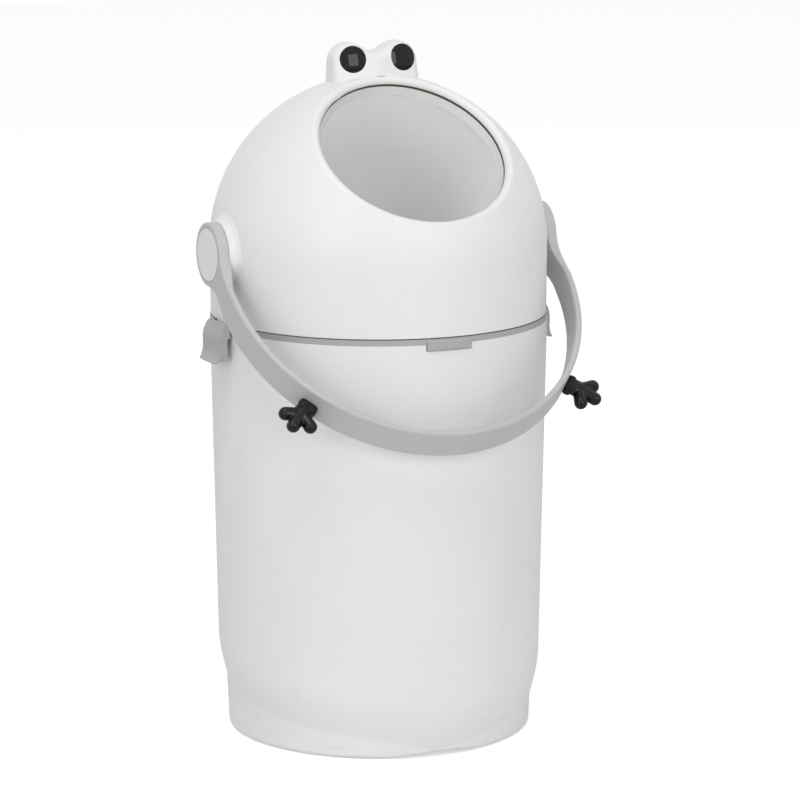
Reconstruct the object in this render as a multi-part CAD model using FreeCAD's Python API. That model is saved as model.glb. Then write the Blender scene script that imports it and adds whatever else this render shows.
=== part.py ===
import FreeCAD, Part
import math
import os

from FreeCAD import Placement, Rotation, Vector

# Nappy bin with a rotating drum, one solid or one group of like solids per node.
# Millimetres, +Z up, front of the bin towards -Y, origin on the floor under the bin's middle.
# The head lifts off the bin when its two side latches are opened.  Inside the head a ball-shaped
# drum turns with the carrying handle, and a weighted piston slides in the drum's tube and pushes
# the nappy out once the mouth it was put in by points down.

# ---- running clearances -------------------------------------------------------------------------
RUN_GAP = 0.3            # between pieces that move past each other
SEAT_GAP = 0.05          # round a piece that is pushed into its seat
SHAFT_GAP = 0.06         # radial play of a shaft or pin in its bore
CUT_MARGIN = 1.0         # a cutter reaches at least this far past what it cuts

# ---- the sizes that the others follow -----------------------------------------------------------
DOME_RADIUS = 140.0      # half ball of the head's casing
TUBE_RADIUS = 75.0       # bore of the drum's tube, which sets the mouths and the aperture
BIN_RIM_Z = 346.3        # top edge of the bin
PIVOT_Z = BIN_RIM_Z + 61.7          # drum axis, centre of every spherical piece
DOME_TOP_Z = PIVOT_Z + DOME_RADIUS

# ---- bin ----------------------------------------------------------------------------------------
BIN_RIM_RADIUS = DOME_RADIUS + 0.3
BIN_WAIST_Z = 100.0      # the straight flared wall starts here
BIN_WAIST_RADIUS = BIN_RIM_RADIUS - 4.7
BIN_WALL = 2.6
PLINTH_RADIUS = BIN_RIM_RADIUS - 12.0
PLINTH_DRAFT = 1.5       # how much narrower the plinth is at the floor
PLINTH_EDGE = 3.0        # bevel of the plinth's lower edge
BELLY_RISE = 36.0        # height of the rounded belly above its crease
BELLY_FULLNESS = 1.8     # how soon the belly swells above its crease
BELLY_STEP = 0.06        # it stays this far inside the straight wall where they meet
BELLY_OVERLAP = 1.5
BELLY_STATIONS = 24      # points round each of its sections
BELLY_SECTIONS = 8       # steps between its sections
BELLY_TUCK = 0.4         # its lower edge starts this far inside the plinth
BELLY_ROOT = 0.8         # share of the plinth's radius at which its hidden foot starts
CREASE_Z = 36.5          # mean height of the crease between belly and plinth
CREASE_TILT = 21.4       # the crease is this much lower in front, higher behind
NOTCH_DEPTH = 9.1        # extra dip of the crease in front
NOTCH_ANGLE = 16.0       # its half width round the bin, in degrees
ARCH_HALF_WIDTH = 62.0   # shallow wave in the plinth's front edge
ARCH_HEIGHT = 5.2
ARCH_STATIONS = 8
FLOOR_Z = 7.0            # underside of the bin's floor
FLOOR_THICKNESS = 3.0
FLOOR_CORNER = 4.0       # bevel between the floor and the wall, inside
RIB_THICKNESS = 2.0
RIB_COUNT = 8
RIB_FOOT_Z = 2.5         # the ribs' lower edge
SOCKET_FOOT_Z = 1.3      # lower edge of the foot pads' sockets
FOOT_RADIUS = 9.0
FOOT_PITCH_RADIUS = PLINTH_RADIUS - 20.3
FOOT_STAND = 0.8         # how far a foot pad stands out below the plinth
FOOT_COUNT = 4           # pads round the plinth; one more sits in the middle
FOOT_THICKNESS = 4.0
FOOT_RIM = 2.0           # wall of the moulded socket round a pad
FOOT_EDGE = 0.5

# ---- bag ring and head seal ---------------------------------------------------------------------
RING_RADIUS = BIN_RIM_RADIUS - 0.4
RING_BAND = 4.7          # height of the band that shows between bin and head
RING_WALL = 2.2
RING_SKIRT_DEPTH = 12.0
RING_LEDGE_RADIUS = BIN_RIM_RADIUS - 16.3
RING_LEDGE_FALL = 1.0    # the ledge slopes down inwards by this much
RING_LEDGE_LIP = 3.0     # height of the lip that hangs from its inner edge
RING_UPSTAND = 2.2
TAB_WIDTH = 38.4
TAB_DROP = 4.3           # the finger tab reaches this far below the band
TAB_STAND = 1.2          # it stands out this far from the bin's wall
TAB_POCKET = 1.5         # depth of the pocket in the wall behind it
TAB_MARGIN = 1.0         # gap round its sides and under it
TAB_SLOPE = 2.2          # height of the bevel that joins it to the band
SEAL_THICKNESS = 1.0
SEAL_WIDTH = 2.2
SEAL_SIDE_GAP = 0.1

# ---- head ---------------------------------------------------------------------------------------
DOME_RIM_RADIUS = DOME_RADIUS - 0.5
DOME_WALL = 2.6
APERTURE_TILT = 39.0     # aperture axis, in degrees forward from vertical
APERTURE_RADIUS = TUBE_RADIUS + 3.0
APERTURE_LIP = 4.5       # rounding of the aperture's outer edge
COLLAR_WALL = 4.5
LAND_RADIUS = 28.0       # flat round land that the handle boss turns against
LAND_SLOPE = 6.0         # the land's rim spreads this much down to the dome
LAND_DEPTH = 4.4
LAND_STAND = 0.3         # how far the land stands out past the dome
BEARING_MARGIN = 1.0     # a bearing boss reaches this far past the flange that sits on it
CRADLE_WALL = 2.4
CRADLE_DECK_Z = BIN_RIM_Z + 9.7
CRADLE_DECK_THICKNESS = 2.4
CRADLE_SCREW_COUNT = 6
CRADLE_SCREW_RADIUS = DOME_RIM_RADIUS - 6.3
CRADLE_BOSS_RADIUS = 4.4
CRADLE_BOSS_TOP = CRADLE_DECK_Z + 22.0
CRADLE_BOWL_TOP = CRADLE_DECK_Z + 18.0

# ---- drum ---------------------------------------------------------------------------------------
DRUM_RADIUS = DOME_RADIUS - 9.0
DRUM_WALL = 2.5
DRUM_SEAL_THICKNESS = 1.7
DRUM_SEAL_WIDTH = 4.0
DRUM_SEAL_SET_BACK = 0.2 # between the aperture's bore and the seal's
TUBE_WALL = 2.4
MOUTH_RADIUS = TUBE_RADIUS + 2.6    # widest part of the mouth ring's funnel
MOUTH_THROAT = TUBE_RADIUS - 1.0    # its stop lip, narrower than the tube
MOUTH_FLANGE = TUBE_RADIUS + 4.4
MOUTH_FUNNEL = 6.4
MOUTH_TUCK = 3.0         # its flange reaches this far under the drum's skin
MOUTH_SOCKET = 4.0       # length of the tube that it holds
HUB_RADIUS = 12.0
HUB_FLANGE_RADIUS = 23.0
HUB_FLANGE_THICKNESS = 3.0
HUB_SCREW_COUNT = 4
HUB_SEAT_X = DRUM_RADIUS - 11.0
HUB_FLAT_X = DRUM_RADIUS - 1.0
DRIVE_SIZE = 16.0        # square end that carries the handle
DRIVE_ROOF = 4.8         # boss wall left outside it
BUSH_WALL = 3.0
BUSH_FLANGE_RADIUS = 18.0
BUSH_FLANGE_THICKNESS = 1.8
DRUM_POST_RADIUS = 5.0
DRUM_POST_ACROSS = TUBE_RADIUS + 23.0
DRUM_POST_ALONG = 52.0

# ---- piston -------------------------------------------------------------------------------------
PISTON_LENGTH = 36.0
PISTON_RADIUS = TUBE_RADIUS - 0.7
PISTON_BODY_RADIUS = TUBE_RADIUS - 2.6
PISTON_WALL = 2.5
PISTON_SEAL_HEIGHT = 5.0
COVER_SKIRT_DEPTH = 5.0  # the cover's spigot inside the cup
COVER_SKIRT_WALL = 2.0
BALLAST_RADIUS = TUBE_RADIUS - 15.0
BALLAST_BORE = 8.0
BALLAST_THICKNESS = 4.0

# ---- handle -------------------------------------------------------------------------------------
HANDLE_DROOP = 40.4      # degrees below the horizontal, to the front
HANDLE_REACH = DOME_RADIUS + 73.2   # pivot to the middle of the strap's front
HANDLE_ARM = 53.0        # straight part of each arm
STRAP_WIDTH = 28.5
STRAP_THICKNESS = 5.5
STRAP_EDGE = 1.5         # bevel along all its edges
BEND_OUTER = (10.0, 32.0)     # where its outer line leaves the boss, and a point on the bend
BEND_INNER = (20.0, 35.0)
BEND_OUTER_SET = -1.5    # how far out those middle points lie from the boss's faces
BEND_INNER_SET = 3.6
NECK_LEAVE = 50.0        # angle on the boss at which the strap's edges leave it
NECK_LENGTH = 8.0        # the edges run parallel this far past the arm's end
BOSS_RADIUS = 26.5
BOSS_GAP = 0.5           # between each boss and the dome's land
BOSS_THICKNESS = 11.5
BOSS_IN = DOME_RADIUS + LAND_STAND + BOSS_GAP
BOSS_OUT = BOSS_IN + BOSS_THICKNESS
STRAP_INSET = 2.3        # the strap's middle line lies this far inside the bosses' outer faces
HANDLE_HALF_WIDTH = BOSS_OUT - STRAP_INSET
DRIVE_END_X = BOSS_OUT - DRIVE_ROOF
CAP_RADIUS = 21.6
CAP_THICKNESS = 1.4
CAP_POCKET = 2.7
CAP_STAND = 0.5
CAP_EDGE = 0.4
CAP_WALL = 1.6
CAP_GAP = 0.2            # round the cap in its pocket

# ---- latches ------------------------------------------------------------------------------------
LATCH_HALF_WIDTH = 20.0
LATCH_STATIONS = 8       # points along its face when its inner side is offset
LATCH_PLATE = 1.6
LATCH_PIN_X = DOME_RIM_RADIUS + 1.4
LATCH_PIN_Z = BIN_RIM_Z + 2.6
LATCH_PIN_RADIUS = 1.0
PIN_END_INSET = 0.6      # each end of the pin lies this far inside the latch's side
LATCH_TOP_X = LATCH_PIN_X + 2.1
LATCH_TOP_Z = LATCH_PIN_Z + 3.4
LATCH_FACE_X = LATCH_PIN_X + 8.3
LATCH_LIP_X = LATCH_PIN_X + 13.1
LATCH_LIP_Z = LATCH_PIN_Z - 28.3
LATCH_SHOULDER = (1.4, 6.6)      # a point of its rounded shoulder: in from the face, below the top
LATCH_FACE_DROP = 13.0   # the upright face starts this far below the top
LATCH_LIP_HEIGHT = 9.0   # and ends this far above the lip's tip
EAR_RADIUS = 2.4
CHEEK_THICKNESS = 2.0
CHEEK_IN = 0.3           # inner edge of the cheeks, outside the pin's centre
CHEEK_SLOT_LOW = LATCH_PIN_Z - 22.9         # relief in each cheek's inner edge
CHEEK_SLOT_HIGH = LATCH_PIN_Z - 7.9
CHEEK_SLOT_DEPTH = 2.2
LATCH_CORNER = 8.0       # rounding of its lower corners, seen square on
LATCH_TOP_CORNER = 2.4
LATCH_OVERREACH = 1.0    # the shape seen square on goes this far past both of the plate's ends
KNUCKLE_RADIUS = 2.1
KNUCKLE_HALF_WIDTH = 14.0
KNUCKLE_WEB = 1.6
CATCH_HALF_WIDTH = 10.0
CATCH_X = BIN_RIM_RADIUS + 2.3
CATCH_BITE = 1.2         # how far the latch's tongue reaches under the catch
CATCH_LOW_Z = LATCH_PIN_Z - 26.9
CATCH_RAMP = 4.6         # height over which the grip fades out, steep enough to pull free
CATCH_HEIGHT = 9.0
TONGUE_GAP = 0.35
TONGUE_THICKNESS = 1.6
TONGUE_TUCK = 1.2        # the tongue reaches this far below the catch
TONGUE_HALF_WIDTH = CATCH_HALF_WIDTH - 1.0
TONGUE_RIB_BITE = 0.6    # its ribs go this deep into it

# ---- eyes ---------------------------------------------------------------------------------------
EYE_SPACING = 44.8
EYE_Z = DOME_TOP_Z + 13.5
EYE_Y = 0.4
EYE_RADIUS = 11.2
EYE_DOMING = 1.6         # rise of the lens over its rim
EYE_RECESS = 1.6
EYE_SPLAY = 8.0          # degrees outwards
EYE_RAKE = 12.0          # degrees upwards
BROW_SPACING = 44.0      # between the middles of the two rounded tops
BROW_RADIUS = 15.6       # rounding of each top
BROW_CREST_Z = DOME_TOP_Z + 10.8    # height of the middles of those roundings
BROW_VALLEY_Z = DOME_TOP_Z + 18.4
BROW_HALF_WIDTH = 39.5   # at the foot
BROW_ROOT_Z = DOME_TOP_Z - 18.0     # hidden foot, inside the dome
BROW_FRONT_SIZES = ((-10.0, 0.94), (-3.0, 0.985), (4.0, 1.0), (11.0, 1.0))    # depth, share of size
BROW_BACK_Y = 18.0       # from here back it closes like an egg
BROW_BACK_REACH = 20.5   # length of that egg
BROW_BACK_TURN = 18.0    # step between its sections, in degrees
BROW_BACK_STEPS = 4
BROW_CORNER_STEPS = 4
BROW_WALL = 2.2
BROW_EDGE = 3.5          # rounding between its front and the rest
BROW_BOSS_RADIUS = 3.6
BROW_SCREW_Y = 12.0

# ---- hands --------------------------------------------------------------------------------------
HAND_STATION = 41.0      # place of each hand round the strap's front ellipse, in degrees
HAND_DROP = 3.0          # below the middle of the strap
WRIST_WIDTH = 17.0
WRIST_DEPTH = 6.0
WRIST_HEIGHT = 11.0
WRIST_EDGE = 1.6
PALM_REACH = 12.0
PALM_RADIUS = 8.4
FINGER_RADIUS = 5.0
FINGERS = ((-47.0, 14.0), (12.0, 15.6), (69.0, 14.0))    # direction in degrees, and length
STUD_RADIUS = 3.0
STUD_LENGTH = 4.0        # press stud, stopping inside the strap's thickness

# ---- screws -------------------------------------------------------------------------------------
SCREW_RADIUS = 1.6
SCREW_HEAD_RADIUS = 2.8
SCREW_HEAD_HEIGHT = 2.2
SCREW_LENGTH = 10.0
HUB_SCREW_LENGTH = 8.0
POST_SCREW_REACH = 9.0   # length of a headless screw in each half of the drum
PILOT_RUNOUT = 1.0       # a pilot hole goes this much deeper than its screw
RECESS_LENGTH = 1.2      # of the cross recess, as a share of the head's radius
RECESS_WIDTH = 0.3
RECESS_DEPTH = 0.5       # as a share of the head's height
HANDLE_SCREW_RADIUS = 2.5
HANDLE_SCREW_HEAD_RADIUS = 5.0
HANDLE_SCREW_HEAD_HEIGHT = 1.5
HANDLE_SCREW_LENGTH = 16.0
TAPPED_RUNOUT = 3.3      # the hub's tapped hole goes this much deeper than its screw

PIVOT = Vector(0, 0, PIVOT_Z)
X_AXIS = Vector(1, 0, 0)
Y_AXIS = Vector(0, 1, 0)
Z_AXIS = Vector(0, 0, 1)
APERTURE_FRAME = Placement(PIVOT, Rotation(X_AXIS, APERTURE_TILT))
MOUTH_LOW_FRAME = APERTURE_FRAME.multiply(Placement(Vector(), Rotation(X_AXIS, 180)))
HANDLE_FRAME = Placement(PIVOT, Rotation(X_AXIS, 180 + HANDLE_DROOP))


# ---- helpers ------------------------------------------------------------------------------------
def lathe(outline):
    """Solid of revolution about Z of a closed outline of (radius, height) points."""
    points = [Vector(radius, 0, height) for radius, height in outline]
    face = Part.Face(Part.makePolygon(points + points[:1]))
    return face.revolve(Vector(), Z_AXIS, 360)


def placed(shape, frame):
    """Copy of a shape, moved from the local frame to where it belongs."""
    copy = shape.copy()
    copy.Placement = frame.multiply(copy.Placement)
    return copy


def rod(radius, x_start, x_end):
    """Round bar along the drum axis between two distances from the middle."""
    return Part.makeCylinder(radius, x_end - x_start, Vector(x_start, 0, PIVOT_Z), X_AXIS)


def mirrored(shape):
    """The same piece on the left side of the bin."""
    return shape.mirror(Vector(), X_AXIS)


def half_turned(shape):
    """The same piece turned half round the aperture's axis, on the other side of the drum."""
    return shape.rotated(PIVOT, APERTURE_FRAME.Rotation.multVec(Z_AXIS), 180)


def both_sides(shape):
    """A piece and its mirror image, as one group."""
    return Part.makeCompound([shape, mirrored(shape)])


def ball(radius, centre=PIVOT):
    """Full sphere round the drum's centre."""
    return Part.makeSphere(radius, centre, Z_AXIS)


def sphere_height(sphere_radius, radius):
    """Distance along an axis at which a sphere has the given radius round that axis."""
    return math.sqrt(sphere_radius ** 2 - radius ** 2)


def extruded(outline, direction):
    """Prism of a closed polygon."""
    face = Part.Face(Part.makePolygon(outline + outline[:1]))
    return face.extrude(direction)


def screw(radius, head_radius, head_height, length):
    """Pan head screw along +Z, its head's underside at the origin, with a cross recess."""
    shank = Part.makeCylinder(radius, length)
    head = Part.makeCylinder(head_radius, head_height, Vector(0, 0, -head_height))
    slot_length = head_radius * RECESS_LENGTH
    slot_width = head_radius * RECESS_WIDTH
    slot = Part.makeBox(slot_length, slot_width, head_height * RECESS_DEPTH,
                        Vector(-slot_length / 2, -slot_width / 2, -head_height))
    cross = slot.fuse(slot.rotated(Vector(), Z_AXIS, 90))
    return shank.fuse(head).cut(cross).removeSplitter()


def pilot_hole(length):
    """Cutter for a screw's hole along +Z, a little deeper than the screw."""
    return Part.makeCylinder(SCREW_RADIUS + SEAT_GAP, length + PILOT_RUNOUT)


def edges_through(points):
    """Straight edges from each point to the next."""
    return [Part.makeLine(points[i], points[i + 1]) for i in range(len(points) - 1)]


def bin_radius(height):
    """Outer radius of the bin's straight flared wall."""
    share = (height - BIN_WAIST_Z) / (BIN_RIM_Z - BIN_WAIST_Z)
    return BIN_WAIST_RADIUS + share * (BIN_RIM_RADIUS - BIN_WAIST_RADIUS)


# ---- bin ----------------------------------------------------------------------------------------
def crease_height(angle):
    """Height of the crease at an angle in degrees from the front, with its dip in front."""
    notch = NOTCH_DEPTH * math.exp(-(angle / NOTCH_ANGLE) ** 2)
    return CREASE_Z - CREASE_TILT * math.cos(math.radians(angle)) - notch


def plinth_radius(height):
    """Outer radius of the plinth, slightly narrower towards the floor."""
    return PLINTH_RADIUS - PLINTH_DRAFT * max(0, 1 - height / CREASE_Z)


def belly_section(share):
    """Closed curve round the belly, a share of the way from its crease up to the waist."""
    points = []
    for step in range(BELLY_STATIONS):
        angle = 360 * step / BELLY_STATIONS - 180
        crease = crease_height(angle)
        height = crease + share * (BIN_WAIST_Z - crease)
        fullness = 1 - max(0, 1 - (height - crease) / BELLY_RISE) ** BELLY_FULLNESS
        foot_radius = plinth_radius(crease) - BELLY_TUCK
        radius = foot_radius + fullness * (bin_radius(height) - BELLY_STEP - foot_radius)
        turn = math.radians(angle)
        points.append(Vector(radius * math.sin(turn), -radius * math.cos(turn), height))
    even = [step / BELLY_STATIONS for step in range(BELLY_STATIONS + 1)]
    curve = Part.BSplineCurve()
    curve.interpolate(Points=points, PeriodicFlag=True, Parameters=even)
    return Part.Wire(curve.toShape())


def belly():
    """Rounded lower part of the bin, closed inside the plinth below its crease."""
    edge = Part.Circle(Vector(0, 0, FOOT_STAND), Z_AXIS, PLINTH_RADIUS * BELLY_ROOT).toShape()
    edge.rotate(Vector(), Z_AXIS, 90)
    foot = Part.Wire(edge)
    sections = [belly_section(step / BELLY_SECTIONS) for step in range(BELLY_SECTIONS + 1)]
    faces = Part.makeLoft(sections, False, False).Faces
    faces += Part.makeLoft([foot, sections[0]], False, True).Faces
    faces += [Part.Face(foot), Part.Face(sections[-1])]
    shell = Part.Shell(faces)
    shell.sewShape()
    solid = Part.Solid(shell)
    if solid.Volume < 0:
        solid.reverse()
    return solid


def latch_catch():
    """Ramped catch on the right side of the bin that the latch grips under."""
    foot_x = BIN_RIM_RADIUS - BIN_WALL
    low = CATCH_LOW_Z
    outline = [Vector(foot_x, -CATCH_HALF_WIDTH, low),
               Vector(CATCH_X - CATCH_BITE, -CATCH_HALF_WIDTH, low),
               Vector(CATCH_X, -CATCH_HALF_WIDTH, low + CATCH_RAMP),
               Vector(CATCH_X, -CATCH_HALF_WIDTH, low + CATCH_HEIGHT - CATCH_BITE),
               Vector(foot_x, -CATCH_HALF_WIDTH, low + CATCH_HEIGHT + CATCH_BITE)]
    return extruded(outline, Vector(0, 2 * CATCH_HALF_WIDTH, 0))


def bin_body():
    """Tub with its plinth, ribbed underside and two latch catches."""
    foot_radius = PLINTH_RADIUS - PLINTH_DRAFT
    bevel = PLINTH_EDGE * 0.3
    plinth = lathe([(0, FOOT_STAND), (foot_radius - PLINTH_EDGE, FOOT_STAND),
                    (foot_radius - bevel, FOOT_STAND + bevel),
                    (foot_radius, FOOT_STAND + PLINTH_EDGE), (PLINTH_RADIUS, CREASE_Z),
                    (PLINTH_RADIUS, BIN_WAIST_Z), (0, BIN_WAIST_Z)])
    wall_foot = BIN_WAIST_Z - BELLY_OVERLAP
    wall = lathe([(0, wall_foot), (bin_radius(wall_foot), wall_foot),
                  (BIN_RIM_RADIUS, BIN_RIM_Z), (0, BIN_RIM_Z)])
    solid = belly().fuse([plinth, wall])
    inner_low = PLINTH_RADIUS - PLINTH_DRAFT - BIN_WALL
    floor_top = FLOOR_Z + FLOOR_THICKNESS
    room = lathe([(0, floor_top), (inner_low - FLOOR_CORNER, floor_top),
                  (inner_low, floor_top + FLOOR_CORNER),
                  (inner_low + PLINTH_DRAFT / 2, CREASE_Z + CREASE_TILT),
                  (BIN_WAIST_RADIUS - BIN_WALL, BIN_WAIST_Z),
                  (BIN_RIM_RADIUS - BIN_WALL, BIN_RIM_Z), (0, BIN_RIM_Z)])
    under = lathe([(0, 0), (inner_low - PLINTH_EDGE, 0), (inner_low - PLINTH_EDGE, FLOOR_Z),
                   (0, FLOOR_Z)])
    body = solid.cut([room, under])
    body = body.fuse([latch_catch(), mirrored(latch_catch())])
    ribs = []
    for index in range(RIB_COUNT):
        rib = Part.makeBox(inner_low, RIB_THICKNESS, FLOOR_Z + FLOOR_THICKNESS / 2 - RIB_FOOT_Z,
                           Vector(0, -RIB_THICKNESS / 2, RIB_FOOT_Z))
        ribs.append(rib.rotated(Vector(), Z_AXIS, 360 / RIB_COUNT * (index + 0.5)))
    sockets = [Part.makeCylinder(FOOT_RADIUS + FOOT_RIM, FLOOR_Z - SOCKET_FOOT_Z,
                                 place + Z_AXIS * SOCKET_FOOT_Z) for place in foot_places()]
    body = body.fuse(ribs + sockets)
    return body.cut(foot_solids(SEAT_GAP) + [front_arch(), tab_pocket()]).removeSplitter()


def front_arch():
    """Cutter that lifts the front of the plinth's lower edge in one smooth wave."""
    points = []
    for step in range(ARCH_STATIONS + 1):
        share = 2 * step / ARCH_STATIONS - 1
        lift = ARCH_HEIGHT * (1 + math.cos(math.pi * share)) / 2
        points.append(Vector(share * ARCH_HALF_WIDTH, -2 * PLINTH_RADIUS, FOOT_STAND / 2 + lift))
    wave = Part.BSplineCurve()
    wave.interpolate(Points=points)
    low = [Vector(point.x, point.y, -ARCH_HEIGHT) for point in (points[-1], points[0])]
    sides = edges_through([points[-1]] + low + [points[0]])
    return Part.Face(Part.Wire([wave.toShape()] + sides)).extrude(Y_AXIS * 2 * PLINTH_RADIUS)


def tab_window(margin):
    """Upright slab in front that bounds the finger tab, widened by a margin on each side."""
    half = TAB_WIDTH / 2 + margin
    reach = 2 * BIN_RIM_RADIUS
    return Part.makeBox(2 * half, reach, 2 * BIN_RIM_Z, Vector(-half, -reach, 0))


def tab_pocket():
    """Cutter for the shallow pocket in the bin's wall that the finger tab sits in."""
    low = BIN_RIM_Z - TAB_DROP - TAB_MARGIN
    deep = BIN_RIM_RADIUS - TAB_POCKET
    band = lathe([(deep, low), (2 * BIN_RIM_RADIUS, low), (2 * BIN_RIM_RADIUS, 2 * BIN_RIM_Z),
                  (deep, 2 * BIN_RIM_Z)])
    return band.common(tab_window(TAB_MARGIN))


def foot_places():
    """Middle of each pad: four round the plinth and one under the bin's middle."""
    ring = []
    for index in range(FOOT_COUNT):
        turn = math.radians(360 / FOOT_COUNT * (index + 0.5))
        ring.append(Vector(math.cos(turn), math.sin(turn), 0) * FOOT_PITCH_RADIUS)
    return ring + [Vector()]


def foot_solids(gap=0):
    """Round rubber foot pads, or their sockets when a gap is given."""
    feet = []
    for place in foot_places():
        foot = Part.makeCylinder(FOOT_RADIUS + gap, FOOT_THICKNESS + gap, place)
        if not gap:
            rim = [e for e in foot.Edges if e.BoundBox.ZMax < FOOT_EDGE]
            foot = foot.makeChamfer(FOOT_EDGE, rim)
        feet.append(foot)
    return feet


def foot_pads():
    """Five pads under the bin."""
    return Part.makeCompound(foot_solids())


# ---- bag ring -----------------------------------------------------------------------------------
def ring_top():
    """Height of the bag ring's upper face."""
    return BIN_RIM_Z + RING_BAND


def bag_ring():
    """Ring that clamps the bag's mouth over the bin's rim, with a finger tab in front."""
    skirt_out = BIN_RIM_RADIUS - BIN_WALL - RUN_GAP
    skirt_in = skirt_out - RING_WALL
    foot = BIN_RIM_Z - RING_SKIRT_DEPTH
    top = ring_top()
    upstand_out = DOME_RIM_RADIUS - DOME_WALL - RUN_GAP
    ring = lathe([(skirt_out, foot), (skirt_out, BIN_RIM_Z), (RING_RADIUS, BIN_RIM_Z),
                  (RING_RADIUS, top), (upstand_out, top), (upstand_out, top + RING_UPSTAND),
                  (skirt_in, top + RING_UPSTAND), (skirt_in, foot + RING_WALL),
                  (RING_LEDGE_RADIUS, foot + RING_WALL - RING_LEDGE_FALL),
                  (RING_LEDGE_RADIUS, foot - RING_LEDGE_LIP),
                  (RING_LEDGE_RADIUS + RING_WALL, foot - RING_LEDGE_LIP),
                  (RING_LEDGE_RADIUS + RING_WALL, foot)])
    tab_in = BIN_RIM_RADIUS - TAB_POCKET + RUN_GAP
    tab_out = BIN_RIM_RADIUS + TAB_STAND
    tab = lathe([(tab_in, BIN_RIM_Z - TAB_DROP), (tab_out, BIN_RIM_Z - TAB_DROP),
                 (tab_out, top - TAB_SLOPE), (RING_RADIUS - TAB_SLOPE, top),
                 (RING_RADIUS - TAB_SLOPE, BIN_RIM_Z), (tab_in, BIN_RIM_Z)])
    ring = ring.fuse(tab.common(tab_window(0)))
    room = LATCH_HALF_WIDTH + RUN_GAP * 2
    low = BIN_RIM_Z - CUT_MARGIN
    high = top + CUT_MARGIN
    band = lathe([(upstand_out, low), (2 * RING_RADIUS, low), (2 * RING_RADIUS, high),
                  (upstand_out, high)])
    skirt_clear = lathe([(0, 0), (skirt_out + RUN_GAP, 0), (skirt_out + RUN_GAP, BIN_RIM_Z),
                         (0, BIN_RIM_Z)])
    side = Part.makeBox(2 * RING_RADIUS, 2 * room, 2 * top, Vector(0, -room, 0))
    notch = band.common(side).cut(skirt_clear)
    return ring.cut([notch, mirrored(notch)]).removeSplitter()


def head_seal():
    """Thin dark rubber ring under the head's rim, notched at the latch knuckles."""
    inner = DOME_RIM_RADIUS - DOME_WALL + RUN_GAP / 2
    top = dome_rim_z()
    ring = lathe([(inner, ring_top()), (inner + SEAL_WIDTH, ring_top()),
                  (inner + SEAL_WIDTH, top), (inner, top)])
    notch = knuckle_zone(DOME_RIM_RADIUS - KNUCKLE_WEB - SEAL_SIDE_GAP, ring_top() - CUT_MARGIN,
                         KNUCKLE_HALF_WIDTH + SEAL_SIDE_GAP)
    return ring.cut([notch, mirrored(notch)])


# ---- head ---------------------------------------------------------------------------------------
def dome_rim_z():
    """Height of the dome's lower edge, on its seal."""
    return ring_top() + SEAL_THICKNESS


def dome_profile(radius, rim_radius, rim_z):
    """Solid of a half ball on a slightly tapered skirt."""
    crown = Part.makeSphere(radius, PIVOT, Z_AXIS, 0, 90, 360)
    skirt = Part.makeCone(rim_radius, radius, PIVOT_Z - rim_z, Vector(0, 0, rim_z))
    return crown.fuse(skirt)


def cradle_screw_frames():
    """Places of the screws that hold the cradle, screwed in from below."""
    frames = []
    for index in range(CRADLE_SCREW_COUNT):
        turn = math.radians(360 / CRADLE_SCREW_COUNT * (index + 0.5))
        place = Vector(CRADLE_SCREW_RADIUS * math.cos(turn), CRADLE_SCREW_RADIUS * math.sin(turn),
                       CRADLE_DECK_Z)
        frames.append(Placement(place, Rotation()))
    return frames


def brow_screw_frames():
    """Places of the two screws that hold the eye mount, screwed in from inside the dome."""
    seat_radius = DOME_RADIUS - DOME_WALL - SEAT_GAP
    frames = []
    for side in (-1, 1):
        outward = Vector(side * BROW_SPACING / 2, BROW_SCREW_Y, DOME_RADIUS).normalize()
        frames.append(Placement(PIVOT + outward * seat_radius, Rotation(Z_AXIS, outward)))
    return frames


def knuckle_zone(inner, low, half_width):
    """Sector under the dome's rim on the right side, as deep as the rim itself."""
    band = lathe([(inner, low), (DOME_RIM_RADIUS, low), (DOME_RIM_RADIUS, dome_rim_z()),
                  (inner, dome_rim_z())])
    return band.common(Part.makeBox(2 * DOME_RADIUS, 2 * half_width, DOME_RADIUS,
                                    Vector(0, -half_width, low)))


def latch_knuckle():
    """Hinge knuckle under the dome's rim that carries the right latch's pin."""
    start = Vector(LATCH_PIN_X, -KNUCKLE_HALF_WIDTH, LATCH_PIN_Z)
    barrel = Part.makeCylinder(KNUCKLE_RADIUS, 2 * KNUCKLE_HALF_WIDTH, start, Y_AXIS)
    web = knuckle_zone(DOME_RIM_RADIUS - KNUCKLE_WEB, LATCH_PIN_Z, KNUCKLE_HALF_WIDTH)
    return barrel.fuse(web)


def aperture_tool():
    """Cutter for the aperture: its bore and the rounding of its outer edge, along +Z."""
    bore = APERTURE_RADIUS
    centre = Vector(bore + APERTURE_LIP, 0,
                    sphere_height(DOME_RADIUS - APERTURE_LIP, bore + APERTURE_LIP))
    start = Vector(bore, 0, centre.z)
    end = centre * (DOME_RADIUS / (DOME_RADIUS - APERTURE_LIP))
    toward = (start - centre).normalize() + (end - centre).normalize()
    arc = Part.Arc(start, centre + toward.normalize() * APERTURE_LIP, end).toShape()
    lines = edges_through([end, end * 2, Vector(0, 0, 2 * DOME_RADIUS), Vector(),
                           Vector(bore, 0, 0), start])
    return Part.Face(Part.Wire([arc] + lines)).revolve(Vector(), Z_AXIS, 360)


def bearing_seat_x():
    """Inner face of the dome's bearing boss, where the bush's flange sits."""
    return HUB_FLAT_X + RUN_GAP + BUSH_FLANGE_THICKNESS


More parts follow.
